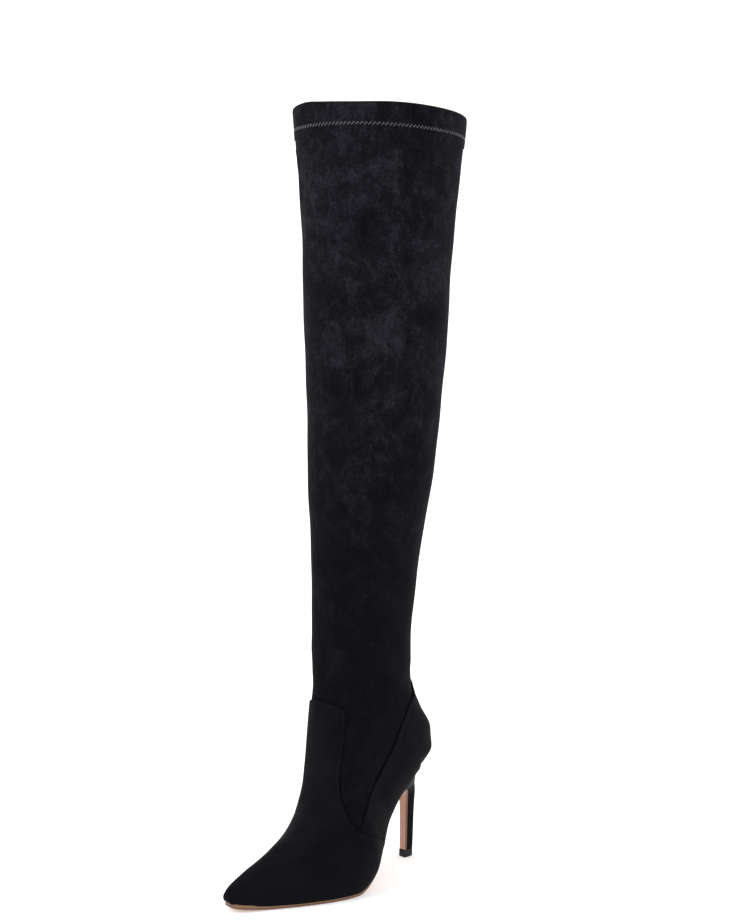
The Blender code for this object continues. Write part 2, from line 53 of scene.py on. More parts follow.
# Sizes of the last and the shaft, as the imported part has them
FOOT_LENGTH = 218 * MM
BALL_WIDTH = 86.6 * MM
HEEL_HEIGHT = 84.5 * MM
INSTEP_HEIGHT = 177 * MM
CUP_HEIGHT = 78.5 * MM
ANKLE_RISE = 35 * MM
ANKLE_WIDTH = 74 * MM
ANKLE_DEPTH = 99.3 * MM
ANKLE_FRONT = 117.5 * MM
BOOT_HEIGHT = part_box("upper")[1].z
COLLAR_DROP = 7.5 * MM
THIGH_WIDTH = 138 * MM
THIGH_DEPTH = 159 * MM
WALL = 1.6 * MM
HEM_DEPTH = 25.5 * MM
HEM_STEP = 0.8 * MM
GAP = 0.3 * MM
OVERLAY = 1.0 * MM
SOLE_THICK = 3.2 * MM
WAIST_THICK = 1.7 * MM
FLAP_THICK = 1.4 * MM
WAIST_RISE = 28 * MM
SEAT_TUCK = 2.8 * MM
SOLE_MARGIN = 1.55 * MM
TOP_PIECE_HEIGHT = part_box("top_piece")[1].z
TIP_BACK = 5.9 * MM
TIP_DEPTH = 9.3 * MM
TIP_WIDTH = 7.8 * MM
HEEL_LEAN = 2.0 * MM
CUP_FULLNESS = 1.6 * MM
SEAT_BACK = 2.6 * MM
BREAST_AT = 43 * MM
SEAT_WIDTH = 36.6 * MM
FEATHER_BASE = SOLE_THICK + GAP
LOW_SHARE = 5 / 14
LEG_POWER = 2.1
HEEL_POWER = 2.4
TIP_POWER = 4.2

# Sections of the foot, toe to seat, in shares of the sizes above
FOOT_COLUMNS = ("low_at", "low_up", "top_at", "top_up", "outer", "inner", "edge_out", "edge_in",
                "wide_at", "power", "swing")
FOOT = [
    (1.000, 0.050, 0.995, 0.080, 0.050, 0.042, 0.050, 0.042, 0.48, 2.0, -0.068),
    (0.989, 0.046, 0.976, 0.104, 0.080, 0.064, 0.080, 0.064, 0.45, 2.0, -0.062),
    (0.944, 0.026, 0.924, 0.138, 0.148, 0.118, 0.140, 0.110, 0.42, 2.0, -0.050),
    (0.855, 0.006, 0.838, 0.182, 0.255, 0.205, 0.228, 0.182, 0.38, 2.0, -0.024),
    (0.752, 0.000, 0.725, 0.244, 0.377, 0.305, 0.326, 0.274, 0.33, 2.1, 0.007),
    (0.633, 0.000, 0.612, 0.337, 0.484, 0.412, 0.433, 0.370, 0.30, 2.1, 0.029),
    (0.532, 0.006, 0.560, 0.458, 0.543, 0.457, 0.473, 0.400, 0.30, 2.1, 0.041),
    (0.431, 0.098, 0.551, 0.569, 0.525, 0.464, 0.418, 0.323, 0.32, 2.1, 0.038),
    (0.347, 0.308, 0.547, 0.684, 0.469, 0.446, 0.328, 0.240, 0.36, 2.1, 0.014),
    (0.271, 0.572, 0.545, 0.783, 0.425, 0.425, 0.250, 0.215, 0.38, 2.1, -0.005),
    (0.188, 0.805, 0.546, 0.864, 0.416, 0.416, 0.225, 0.220, 0.40, 2.1, -0.007),
    (0.110, 0.935, 0.547, 0.923, 0.409, 0.412, 0.215, 0.218, 0.40, 2.1, -0.008),
    (0.046, 0.988, 0.544, 0.972, 0.405, 0.409, 0.150, 0.153, 0.41, 2.1, -0.008),
    (0.012, 1.000, 0.544, 1.000, 0.405, 0.409, 0.000, 0.000, 0.42, 2.1, -0.006),
]

# Rings of the heel cup: back_at, rise, front_rise, front_at, wide, wide_at
CUP = [
    (-0.026, 0.172, 0.20, 0.545, 0.956, 0.44),
    (-0.024, 0.400, 0.43, 0.544, 0.967, 0.46),
    (0.034, 0.706, 0.71, 0.541, 0.981, 0.48),
]
CUP_SWING = -0.004

# Rings of the shaft: rise, front_rise, wider, deeper, ahead
SHAFT = [
    (0.000, 0.000, 0.000, 0.000, 0.000),
    (0.084, 0.052, 0.025, -0.035, -0.018),
    (0.253, 0.191, 0.266, 0.062, -0.059),
    (0.422, 0.360, 0.506, 0.313, -0.059),
    (0.591, 0.539, 0.662, 0.493, -0.042),
    (0.790, 0.757, 0.780, 0.665, -0.008),
    (1.000, 1.000, 1.000, 1.000, 0.109),
]

# Rings of the heel: front, back, spread, front_up, back_up
HEEL = [
    (0.02, 0.05, 0.02, 0.414, 0.414),
    (0.04, 0.15, 0.06, 0.615, 0.615),
    (0.08, 0.30, 0.15, 0.704, 0.722),
    (0.18, 0.50, 0.34, 0.763, 0.817),
    (0.38, 0.72, 0.61, 0.797, 0.899),
    (0.70, 0.90, 0.88, 0.800, 0.962),
]

# Edge of the vamp from the front: shares of VAMP_HEIGHT and of VAMP_HALF_WIDTH. On the inner side it flares
# by a share of VAMP_INNER, and it stays ahead of VAMP_BACK, a share of FOOT_LENGTH
VAMP_HEIGHT = 163.5 * MM
VAMP_HALF_WIDTH = 23 * MM
VAMP_INNER = 0.42
VAMP_BACK = 0.46
VAMP_FRONT = [(1.000, 0.00), (0.998, 0.35), (0.980, 0.70), (0.955, 0.92), (0.925, 1.00), (0.780, 1.00),
              (0.660, 1.04), (0.570, 1.10), (0.505, 1.24), (0.445, 1.48), (0.395, 1.78), (0.362, 2.05)]
# Foot of the vamp's seam from the side: shares of FOOT_LENGTH and VAMP_HEIGHT
VAMP_SIDE = [(0.552, 0.372), (0.525, 0.340), (0.485, 0.316), (0.420, 0.278), (0.362, 0.242), (0.328, 0.190)]
# Front seam of the counter from the side: shares of FOOT_LENGTH and COUNTER_HEIGHT
COUNTER_HEIGHT = 170 * MM
COUNTER_SIDE = [(-0.120, 1.060), (0.087, 1.000), (0.206, 0.900), (0.247, 0.806), (0.278, 0.722),
                (0.330, 0.644), (0.403, 0.536), (0.452, 0.474), (0.495, 0.412), (0.520, 0.358)]
SEAM_GAP = 0.5 * MM

# Front seam of the shaft, top to bottom, as (x, height) on the front
FRONT_SEAM = [(-13, 660), (-13, 645), (-17.5, 591), (-20, 541), (-18.7, 481), (-16.7, 421), (-14, 330),
              (-11, 240), (-7, 190), (-4, 158)]


def stage_camera():
    """The photograph's viewpoint: to the boot's front left, a little below the collar."""
    data = bpy.data.cameras.new("camera")
    data.sensor_fit = "VERTICAL"
    data.sensor_height = 36
    data.lens = 61.89
    camera = bpy.data.objects.new("camera", data)
    camera.location = (0.9948, -0.9371, 0.4875)
    camera.rotation_euler = (math.radians(85.09), 0, math.radians(45.52))
    bpy.context.scene.collection.objects.link(camera)
    bpy.context.scene.camera = camera


# The form of the upper


def between(a, b, share):
    """The value a share of the way from a to b."""
    return a + (b - a) * share


def form_rows():
    """Rows of the upper from toe to rim: low u, low z, top u, top z, half widths, edges and shape."""
    rows = []
    for values in FOOT:
        s = dict(zip(FOOT_COLUMNS, values))
        rows.append((
            s["low_at"] * FOOT_LENGTH, between(FEATHER_BASE, HEEL_HEIGHT, s["low_up"]),
            s["top_at"] * FOOT_LENGTH, s["top_up"] * INSTEP_HEIGHT,
            s["outer"] * BALL_WIDTH, s["inner"] * BALL_WIDTH,
            s["edge_out"] * BALL_WIDTH, s["edge_in"] * BALL_WIDTH,
            s["wide_at"], s["power"], s["swing"] * BALL_WIDTH,
        ))
    for back_at, rise, front_rise, front_at, wide, wide_at in CUP:
        half = wide * ANKLE_WIDTH / 2
        rows.append((
            back_at * FOOT_LENGTH, HEEL_HEIGHT + rise * CUP_HEIGHT,
            front_at * FOOT_LENGTH, INSTEP_HEIGHT + front_rise * ANKLE_RISE,
            half, half, 0, 0, wide_at, LEG_POWER, CUP_SWING * BALL_WIDTH,
        ))
    for rise, front_rise, wider, deeper, ahead in SHAFT:
        front = ANKLE_FRONT + ahead * (THIGH_DEPTH - ANKLE_DEPTH)
        half = between(ANKLE_WIDTH, THIGH_WIDTH, wider) / 2
        rows.append((
            front - between(ANKLE_DEPTH, THIGH_DEPTH, deeper),
            between(HEEL_HEIGHT + CUP_HEIGHT, BOOT_HEIGHT - COLLAR_DROP, rise),
            front, between(INSTEP_HEIGHT + ANKLE_RISE, BOOT_HEIGHT, front_rise),
            half, half, 0, 0, 0.5, LEG_POWER, 0,
        ))
    return np.array(rows, float)


def smooth_slopes(run, values):
    """Slopes that let a curve pass its rows without overshooting."""
    steps = np.diff(run)
    rates = np.diff(values, axis=0) / steps[:, None]
    out = np.zeros_like(values)
    out[0], out[-1] = rates[0], rates[-1]
    for k in range(1, len(run) - 1):
        w1, w2 = 2 * steps[k] + steps[k - 1], steps[k] + 2 * steps[k - 1]
        same = rates[k - 1] * rates[k] > 0
        out[k][same] = (w1 + w2) / (w1 / rates[k - 1][same] + w2 / rates[k][same])
    return out


def read_curve(run, values, slopes, places):
    """Values of the smooth curve at the given places."""
    k = np.clip(np.searchsorted(run, places, side="right") - 1, 0, len(run) - 2)
    h = (run[k + 1] - run[k])[:, None]
    s = ((places - run[k]) / h[:, 0])[:, None]
    return ((2 * s**3 - 3 * s**2 + 1) * values[k] + (s**3 - 2 * s**2 + s) * h * slopes[k]
            + (3 * s**2 - 2 * s**3) * values[k + 1] + (s**3 - s**2) * h * slopes[k + 1])


ROWS = form_rows()
SPANS = (np.hypot(*(ROWS[1:, 0:2] - ROWS[:-1, 0:2]).T) + np.hypot(*(ROWS[1:, 2:4] - ROWS[:-1, 2:4]).T)) / 2
RUN = np.concatenate(([0], np.cumsum(SPANS + 0.02 * MM)))
SLOPES = smooth_slopes(RUN, ROWS)
RIM = RUN[-1]
ANKLE = RUN[len(FOOT) + len(CUP)]
SEAT = RUN[len(FOOT) - 1]
ORIGIN_U = (FOOT_LENGTH + OVERLAY + GAP + ROWS[-1][0] - HEM_STEP) / 2


def sections(places):
    """Rows of the form at running lengths from the toe."""
    return read_curve(RUN, ROWS, SLOPES, np.asarray(places, float))


def section_points(row, around):
    """Points of one section; around runs from the outer feather edge, over the ridge, to the inner one."""
    low_u, low_z, top_u, top_z, outer, inner, edge_out, edge_in, wide_at, power, swing = row
    tall = math.hypot(top_u - low_u, top_z - low_z)
    side = np.where(around < 0.5, 1.0, -1.0)
    half = np.where(around < 0.5, outer, inner)
    edge = np.maximum(0, np.where(around < 0.5, edge_out, edge_in))
    s = np.clip(2 * np.minimum(around, 1 - around), 0, 1)
    low = s < LOW_SHARE
    a = np.where(low, 1 - s / LOW_SHARE, (s - LOW_SHARE) / (1 - LOW_SHARE)) * math.pi / 2
    cos, sin = np.clip(np.cos(a), 0, 1), np.clip(np.sin(a), 0, 1)
    x = np.where(low, edge + (half - edge) * cos, half * cos ** (2 / power))
    q = np.where(low, wide_at * tall * (1 - sin), tall * (wide_at + (1 - wide_at) * sin ** (2 / power)))
    x = side * x + swing
    return np.stack([x, low_u + q * (top_u - low_u) / tall, low_z + q * (top_z - low_z) / tall], -1)


def form_grid(places, around):
    """Points (x, u, z) of the form, one line of them for each place."""
    return np.array([section_points(row, around) for row in sections(places)])


def grid_normals(grid, closed):
    """Outward normals of a grid; rows marked closed meet behind."""
    along = np.gradient(grid, axis=0)
    across = np.gradient(grid, axis=1)
    normals = np.cross(across, along)
    for k in np.nonzero(closed)[0]:
        both = normals[k, 0] + normals[k, -1]
        normals[k, 0] = normals[k, -1] = both
    size = np.linalg.norm(normals, axis=2, keepdims=True)
    return normals / np.maximum(size, 1e-12)


def distance_to_line(points, line):
    """Distance of every point to a polyline."""
    best = np.full(points.shape[:-1], 1e9)
    for a, b in zip(line[:-1], line[1:]):
        d = b - a
        share = np.clip(((points - a) @ d) / (d @ d), 0, 1)
        best = np.minimum(best, np.linalg.norm(points - a - share[..., None] * d, axis=-1))
    return best


def run_lengths(points):
    """Lengths along a line, from its start to each of its points."""
    return np.concatenate(([0], np.cumsum(np.linalg.norm(np.diff(points, axis=0), axis=1))))


def smooth_line(points, count):
    """A curve through a few given points."""
    points = np.array(points, float)
    run = run_lengths(points)
    return read_curve(run, points, smooth_slopes(run, points), np.linspace(0, run[-1], count))


def smooth_step(value):
    """0 below 0, 1 above 1, eased between."""
    value = np.clip(value, 0, 1)
    return value * value * (3 - 2 * value)


def hump(distance, width):
    """A soft bell over distance: 1 in the middle, a little over a third at one width."""
    return np.exp(-(distance / width) ** 2)


# Mesh helpers


def as_array(points):
    """Points of any kind as one array of numbers."""
    return np.array([tuple(p) for p in points], float)


def place(points):
    """Points (x, u, z) turned into the part's frame."""
    out = np.array(points, float)
    out[..., 1] = ORIGIN_U - out[..., 1]
    return out


def sheet_bmesh(grid, tags=None):
    """A sheet laid on a grid of places (x, u, z)."""
    return grid_bmesh(place(grid), tags)


def grid_bmesh(placed, tags=None):
    """A sheet laid on a grid of points; tags give each column a number that its material reads."""
    rows, columns = placed.shape[:2]
    bm = bmesh.new()
    bm.loops.layers.uv.new("UVMap")
    tag = bm.verts.layers.float.new("tag")
    bmesh.ops.create_grid(bm, x_segments=columns - 1, y_segments=rows - 1, size=0.5, calc_uvs=True)
    for vert in bm.verts:
        column = round((vert.co.x + 0.5) * (columns - 1))
        row = round((vert.co.y + 0.5) * (rows - 1))
        vert.co = placed[row, column]
        if tags is not None:
            vert[tag] = tags[column]
    bmesh.ops.remove_doubles(bm, verts=bm.verts, dist=0.02 * MM)
    bm.normal_update()
    return bm


def tube_bmesh(rings, tags=None):
    """A closed body over closed rings, its ends filled."""
    rings = np.array(rings, float)
    grid = np.concatenate([rings, rings[:, :1]], axis=1)
    if tags is not None:
        tags = list(tags) + [tags[0]]
    bm = sheet_bmesh(grid, tags)
    bmesh.ops.holes_fill(bm, edges=[e for e in bm.edges if e.is_boundary])
    bmesh.ops.recalc_face_normals(bm, faces=bm.faces)
    bm.normal_update()
    return bm


def face_away(bm, flip=False):
    """Points a sheet's faces away from its middle, or towards it when flip is set."""
    middle = sum((v.co for v in bm.verts), Vector()) / len(bm.verts)
    total = sum((f.calc_center_median() - middle).dot(f.normal) * f.calc_area() for f in bm.faces)
    if (total < 0) != flip:
        bmesh.ops.reverse_faces(bm, faces=bm.faces)
        bm.normal_update()


def add_object(name, bm, mat):
    """Makes a smooth object with one material from a bmesh."""
    mesh = bpy.data.meshes.new(name)
    bm.to_mesh(mesh)
    bm.free()
    mesh.materials.append(mat)
    mesh.shade_smooth()
    obj = bpy.data.objects.new(name, mesh)
    bpy.context.scene.collection.objects.link(obj)
    return obj


def finish_piece(name, bm, mat, replaced=(), smooth_angle=50):
    """Makes the object, with its body and the solids it stands for."""
    obj = add_object(name, bm, mat)
    obj.data.set_sharp_from_angle(angle=math.radians(smooth_angle))
    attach(obj, "root")
    if replaced:
        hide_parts(*replaced)
    return obj


def give_wall(obj, thickness, edge):
    """A wall inwards and a softly rounded edge."""
    wall = obj.modifiers.new("wall", "SOLIDIFY")
    wall.thickness = thickness
    wall.offset = -1
    wall.use_even_offset = False
    bevel = obj.modifiers.new("edge", "BEVEL")
    bevel.limit_method = "ANGLE"
    bevel.angle_limit = math.radians(60)
    bevel.width = edge
    bevel.segments = 2


# Materials

SUEDE_DARK = (0.0028, 0.0027, 0.0037)
SUEDE_MID = (0.0064, 0.0063, 0.0084)
SUEDE_LIGHT = (0.0158, 0.0158, 0.0198)
SUEDE_CALM = (0.0027, 0.0026, 0.0033)
FOOT_DARK = (0.0022, 0.0021, 0.0031)
FOOT_LIGHT = (0.0038, 0.0036, 0.0053)
EDGE_GOLD = (0.19, 0.096, 0.04)
EDGE_BROWN = (0.12, 0.05, 0.027)
SOLE_PINK = (0.46, 0.255, 0.182)


class Nodes:
    """A material's nodes, added and joined one by one."""

    def __init__(self, name):
        """Starts a material on its shader and the object's own coordinates."""
        self.material = bpy.data.materials.new(name)
        self.material.use_nodes = True
        self.tree = self.material.node_tree
        self.shader = self.tree.nodes["Principled BSDF"]
        self.place = self.add("TexCoord").outputs["Object"]

    def feed(self, socket, value):
        """Joins a socket to another one, or sets it to a number, a vector or a colour."""
        if isinstance(value, bpy.types.NodeSocket):
            self.tree.links.new(value, socket)
        elif isinstance(value, tuple) and socket.type == "RGBA":
            socket.default_value = (*value, 1)
        else:
            socket.default_value = value

    def add(self, kind, inputs=None, **settings):
        """One node, its settings made first and then its inputs."""
        node = self.tree.nodes.new("ShaderNode" + kind)
        for key, value in settings.items():
            setattr(node, key, value)
        for key, value in (inputs or {}).items():
            self.feed(node.inputs[key], value)
        return node

    def noise(self, scale, detail=3.0, roughness=0.5, distortion=0.0, stretch=None):
        """Noise over the object, stretched along its axes when stretch is given."""
        place = self.place
        if stretch:
            place = self.add("Mapping", {"Vector": place, "Scale": stretch}).outputs[0]
        inputs = {"Vector": place, "Scale": scale, "Detail": detail, "Roughness": roughness,
                  "Distortion": distortion}
        return self.add("TexNoise", inputs).outputs["Fac"]

    def cells(self, scale):
        """Distance to the nearest of many scattered points, for a grain."""
        inputs = {"Vector": self.place, "Scale": scale}
        return self.add("TexVoronoi", inputs, feature="F1").outputs["Distance"]

    def waves(self, scale, distortion, direction):
        """Even bands across one direction."""
        inputs = {"Vector": self.place, "Scale": scale, "Distortion": distortion}
        return self.add("TexWave", inputs, bands_direction=direction).outputs["Fac"]

    def ramp(self, factor, stops):
        """Colours read off a ramp with stops at (place, colour)."""
        node = self.add("ValToRGB", {"Fac": factor})
        while len(node.color_ramp.elements) < len(stops):
            node.color_ramp.elements.new(0.5)
        for element, (at, colour) in zip(node.color_ramp.elements, stops):
            element.position = at
            element.color = (*colour, 1)
        return node.outputs["Color"]

    def greys(self, factor, low, dark, high, light):
        """Two greys read off a ramp: dark up to low, light from high on."""
        return self.ramp(factor, [(low, (dark,) * 3), (high, (light,) * 3)])

    def weigh(self, a, a_share, b, b_share):
        """Two values added, each with its share."""
        first = self.add("Math", {0: a, 1: a_share}, operation="MULTIPLY").outputs[0]
        second = self.add("Math", {0: b, 1: b_share}, operation="MULTIPLY").outputs[0]
        return self.add("Math", {0: first, 1: second}, operation="ADD").outputs[0]

    def remap(self, value, start, end, low, high, **settings):
        """A value that runs from start to end, spread from low to high."""
        inputs = {0: value, 1: start, 2: end, 3: low, 4: high}
        return self.add("MapRange", inputs, **settings).outputs[0]

    def mix(self, factor, a, b, blend="MIX"):
        """Two colours mixed."""
        node = self.add("Mix", data_type="RGBA", blend_type=blend)
        for index, value in ((0, factor), (6, a), (7, b)):
            self.feed(node.inputs[index], value)
        return node.outputs[2]

    def bump(self, height, strength, distance, normal=None):
        """A normal bent by a height, on top of another normal when one is given."""
        inputs = {"Height": height, "Strength": strength, "Distance": distance}
        if normal:
            inputs["Normal"] = normal
        return self.add("Bump", inputs).outputs["Normal"]

    def finish(self, colour, roughness, normal=None, **fixed):
        """Joins colour, roughness and normal to the shader and sets its other sockets by their names."""
        sockets = self.shader.inputs
        self.feed(sockets["Base Color"], colour)
        self.feed(sockets["Roughness"], roughness)
        if normal:
            self.feed(sockets["Normal"], normal)
        for name, value in fixed.items():
            sockets[name.replace("_", " ").title().replace("Ior", "IOR")].default_value = value
        return self.material


def shaft_suede():
    """Stretch suede: cloudy nap, bluer and lighter where it is brushed up, calmer towards the ankle."""
    n = Nodes("shaft_suede")
    clouds = n.noise(26, 6, 0.66, 0.5)
    wisps = n.noise(80, 5, 0.7, 0.7, (1, 1, 0.75))
    both = n.weigh(clouds, 0.5, wisps, 0.5)
    fine = n.noise(330, 5, 0.75, 0.4)
    nap = n.weigh(both, 0.72, fine, 0.28)
    tone = n.ramp(nap, [(0.4, SUEDE_DARK), (0.5, SUEDE_MID), (0.6, SUEDE_LIGHT)])
    hue = n.ramp(n.noise(17, 3, 0.5, 0.5), [(0.4, (0.99, 0.95, 1.06)), (0.6, (0.95, 1.0, 1.03))])
    tone = n.mix(0.8, tone, hue, "MULTIPLY")
    height = n.add("SeparateXYZ", {0: n.place}).outputs["Z"]
    high = n.remap(height, 0.18, 0.52, 0.25, 1.0, interpolation_type="SMOOTHSTEP")
    colour = n.mix(high, SUEDE_CALM, tone)
    colour = n.mix(0.75, colour, n.greys(n.noise(1000, 2, 0.6), 0.42, 0.7, 0.62, 1.45), "MULTIPLY")
    fibres = n.noise(2300, 3, 0.65, 0.0, (1, 1, 0.55))
    normal = n.bump(fibres, 0.35, 0.12 * MM, n.bump(nap, 0.22, 1.2 * MM))
    return n.finish(colour, 0.95, normal, sheen_weight=0.02, sheen_roughness=0.4,
                    sheen_tint=(0.8, 0.82, 0.9, 1), specular_ior_level=0.04)


def foot_suede():
    """Short smooth suede of the vamp and the counter, with a faint sheen and soft rubbed patches."""
    n = Nodes("foot_suede")
    patches = n.noise(32, 4, 0.55, 0.4)
    colour = n.ramp(patches, [(0.35, FOOT_DARK), (0.65, FOOT_LIGHT)])
    colour = n.mix(0.6, colour, n.greys(n.noise(1800, 2, 0.6), 0.4, 0.78, 0.62, 1.28), "MULTIPLY")
    normal = n.bump(n.noise(2600, 3, 0.6), 0.28, 0.1 * MM, n.bump(patches, 0.1, 1.0 * MM))
    return n.finish(colour, 0.8, normal, sheen_weight=0.014, sheen_roughness=0.35,
                    sheen_tint=(0.82, 0.84, 0.93, 1), specular_ior_level=0.05)


def lining_cloth():
    """Fine brown jersey inside the shaft."""
    n = Nodes("lining_cloth")
    ribs = n.waves(520.0, 1.2, "X")
    colour = n.mix(n.noise(60, 3), (0.19, 0.115, 0.07), (0.25, 0.16, 0.1))
    return n.finish(colour, 0.9, n.bump(ribs, 0.2, 0.15 * MM), sheen_weight=0.2)


def sole_leather():
    """Tan sole: its edge painted in two browns, its underside pinkish and lightly brushed."""
    n = Nodes("sole_leather")
    depth = n.add("Attribute", attribute_name="tag").outputs["Fac"]
    edge = n.ramp(depth, [(0.0, EDGE_GOLD), (0.26, EDGE_GOLD), (0.33, EDGE_BROWN), (0.48, EDGE_BROWN),
                          (0.56, SOLE_PINK)])
    brushed = n.noise(240, 4, 0.6, 0.0, (1, 0.12, 1))
    shade = n.ramp(brushed, [(0.3, (0.9, 0.88, 0.86)), (0.7, (1.06, 1.05, 1.04))])
    colour = n.mix(0.8, edge, shade, "MULTIPLY")
    rough = n.remap(n.noise(90, 3), 0.3, 0.7, 0.38, 0.52)
    return n.finish(colour, rough, n.bump(brushed, 0.12, 0.1 * MM), coat_weight=0.15, coat_roughness=0.35)


def heel_wrap():
    """Black leather drawn tightly over the heel, with a fine grain."""
    n = Nodes("heel_wrap")
    grain = n.cells(1500.0)
    colour = n.mix(n.noise(45, 3), (0.002, 0.0019, 0.0018), (0.004, 0.0037, 0.0035))
    return n.finish(colour, 0.45, n.bump(grain, 0.12, 0.08 * MM), specular_ior_level=0.025)


def tip_rubber():
    """Dark grey wear tip, slightly pitted."""
    n = Nodes("tip_rubber")
    pits = n.noise(900, 3, 0.6)
    colour = n.ramp(pits, [(0.3, (0.008, 0.008, 0.009)), (0.7, (0.016, 0.016, 0.018))])
    return n.finish(colour, 0.62, n.bump(pits, 0.2, 0.1 * MM), specular_ior_level=0.2)


def sock_leather():
    """Pale tan sock lining with a faint grain."""
    n = Nodes("sock_leather")
    grain = n.cells(900.0)
    colour = n.mix(n.noise(35, 4), (0.36, 0.23, 0.14), (0.42, 0.28, 0.18))
    return n.finish(colour, 0.6, n.bump(grain, 0.15, 0.1 * MM))


def thread(name, colour):
    """Sewing thread with its twist."""
    n = Nodes(name)
    twist = n.waves(1400.0, 0.5, "DIAGONAL")
    return n.finish(colour, 0.6, n.bump(twist, 0.3, 0.05 * MM), specular_ior_level=0.12)


# The upper

SHAFT_COLUMNS = 224
FOOT_ROW = 2.6 * MM
SHAFT_ROW = 2.5 * MM
HEM_ROW = 1.1 * MM
HEM_ZONE = 44 * MM
STITCH_DEPTH = 18.5 * MM
FACING = 24 * MM
HEM_SLOPE = 1.2 * MM
ROLL = (HEM_STEP + WALL) / 2
COLLAR_PEAK = 0.9 * MM
COLLAR_DIP = 1.8 * MM
HEEL_MIDDLE = 40 * MM

# How the cup is filled out behind, as (share, height, reach up and down)
CUP_HUMPS = [(1.15, 105.5 * MM, 8.5 * MM), (1.0, 123 * MM, 17 * MM)]


def evenly(start, end, step):
    """Places from start to end, end left out, about step apart."""
    return list(np.linspace(start, end, max(2, round((end - start) / step)), endpoint=False))


def crease_relief(grid, creases):
    """Soft troughs and ridges along listed lines."""
    relief = np.zeros(grid.shape[:2])
    for width, height, points in creases:
        line = smooth_line(np.array(points, float) * MM, 24)
        low, high = line.min(0) - 3 * width * MM, line.max(0) + 3 * width * MM
        near = np.all((grid > low) & (grid < high), axis=2)
        relief[near] += height * MM * hump(distance_to_line(grid[near], line), width * MM)
    return relief


# Creases of the shaft as (width, height, points (x, u, z)) in millimetres; troughs are negative
SHAFT_CREASES = [
    (2.4, -1.5, [(-42, 107, 636), (-36, 111, 622), (-31, 112.5, 606), (-28, 113, 592)]),
    (2.2, 0.9, [(-37, 111, 636), (-31, 113.5, 622), (-26, 114.5, 606)]),
    (2.4, -1.2, [(-46, 101, 626), (-40, 106, 610), (-35, 108, 592)]),
    (5.0, -0.5, [(62, 40, 636), (60, 66, 632), (52, 90, 634)]),
    (6.0, 0.45, [(66, 30, 626), (62, 62, 620), (54, 86, 624)]),
    (7.0, -0.7, [(37, 60, 190), (33, 84, 180), (20, 108, 176)]),
    (8.0, 0.5, [(37, 50, 204), (35, 78, 196), (24, 104, 192)]),
    (7.0, -0.6, [(-37, 60, 188), (-33, 84, 179), (-20, 108, 176)]),
    (9.0, -0.5, [(36, 34, 214), (37, 60, 224), (30, 92, 228)]),
    (6.0, -0.6, [(24, 22, 182), (32, 40, 176), (35, 62, 164)]),
    (5.0, 0.4, [(26, 24, 190), (34, 44, 184), (36, 64, 172)]),
    (6.0, -0.5, [(-24, 22, 182), (-32, 40, 176), (-35, 62, 164)]),
    (7.0, -0.5, [(36, 70, 132), (34, 86, 118), (36, 98, 100)]),
    (6.0, 0.4, [(37, 62, 140), (35, 78, 124), (37, 92, 104)]),
]


def behind_heel(u):
    """0 ahead of the middle of the heel, 1 well behind it."""
    return smooth_step((HEEL_MIDDLE - u) / (26 * MM))


def draw_in(grid, low=None):
    """The skin drawn in at the back of the heel, where it is lasted over the seat, and filled out above."""
    u, z = grid[..., 1], grid[..., 2]
    if low is None:
        low = smooth_step((HEEL_HEIGHT + 20 * MM - z) / (22 * MM))
    way = np.stack([-grid[..., 0], HEEL_MIDDLE - u], -1)
    way /= np.maximum(np.linalg.norm(way, axis=-1, keepdims=True), 1 * MM)
    full = sum(share * hump(z - at, reach) for share, at, reach in CUP_HUMPS)
    full = full * smooth_step((34 * MM - u) / (30 * MM))
    out = grid.copy()
    out[..., :2] += way * (SEAT_TUCK * low * behind_heel(u) - CUP_FULLNESS * full)[..., None]
    return out


def wandering(points, size, seed):
    """A slow, seeded wave over places, between about -1 and 1."""
    rng = np.random.default_rng(seed)
    total = np.zeros(points.shape[:-1])
    for _ in range(7):
        direction = rng.normal(size=3)
        direction /= np.linalg.norm(direction)
        pace = 2 * math.pi / (size * rng.uniform(0.6, 1.5))
        total += np.sin(points @ direction * pace + rng.uniform(0, 6.3))
    return total / 3


def seam_relief(distance, swell):
    """A seam: a fine groove in a soft swell."""
    return swell * hump(distance, 2.6 * MM) - 0.6 * MM * hump(distance, 0.8 * MM)


def shaft_relief(grid, places, around):
    """How far the upper's skin stands out of the form."""
    x, u, z = grid[..., 0], grid[..., 1], grid[..., 2]
    places = places[:, None]
    around = around[None, :]
    hem = HEM_STEP * smooth_step((places - (RIM - HEM_DEPTH - HEM_SLOPE)) / HEM_SLOPE)
    relief = np.repeat(hem, grid.shape[1], axis=1)
    front = np.array(FRONT_SEAM[::-1], float) * MM
    beside = np.abs(x - np.interp(z, front[:, 1], front[:, 0]))
    ahead = (around > 0.3) & (around < 0.75) & (z > 150 * MM)
    relief += np.where(ahead, seam_relief(beside, 0.35 * MM), 0)
    behind = ((around < 0.1) | (around > 0.9)) & (z > 155 * MM)
    relief += np.where(behind, seam_relief(np.abs(x), 0.3 * MM), 0)
    below = (RIM - STITCH_DEPTH) - places
    girth = np.arctan2(x, u - HEEL_MIDDLE)
    gathers = np.sin(girth * 61 + 1.3 * np.sin(girth * 17)) * np.sin(girth * 9 + 1)
    fade = np.exp(-np.maximum(0, below) / (7 * MM)) * np.exp(-np.maximum(0, -below) / (5 * MM))
    relief += 0.22 * MM * gathers * fade
    relief -= 0.35 * MM * hump(below, 1.6 * MM)
    relief += 0.45 * MM * wandering(grid, 70 * MM, 4) * smooth_step((z - 90 * MM) / (60 * MM))
    relief += crease_relief(grid, SHAFT_CREASES)
    return relief


def near_rim(places):
    """How much of the collar's line each row follows: none below the hem's row, all of it at the rim."""
    return smooth_step((places - (RIM - 24 * MM)) / (20 * MM))[:, None]


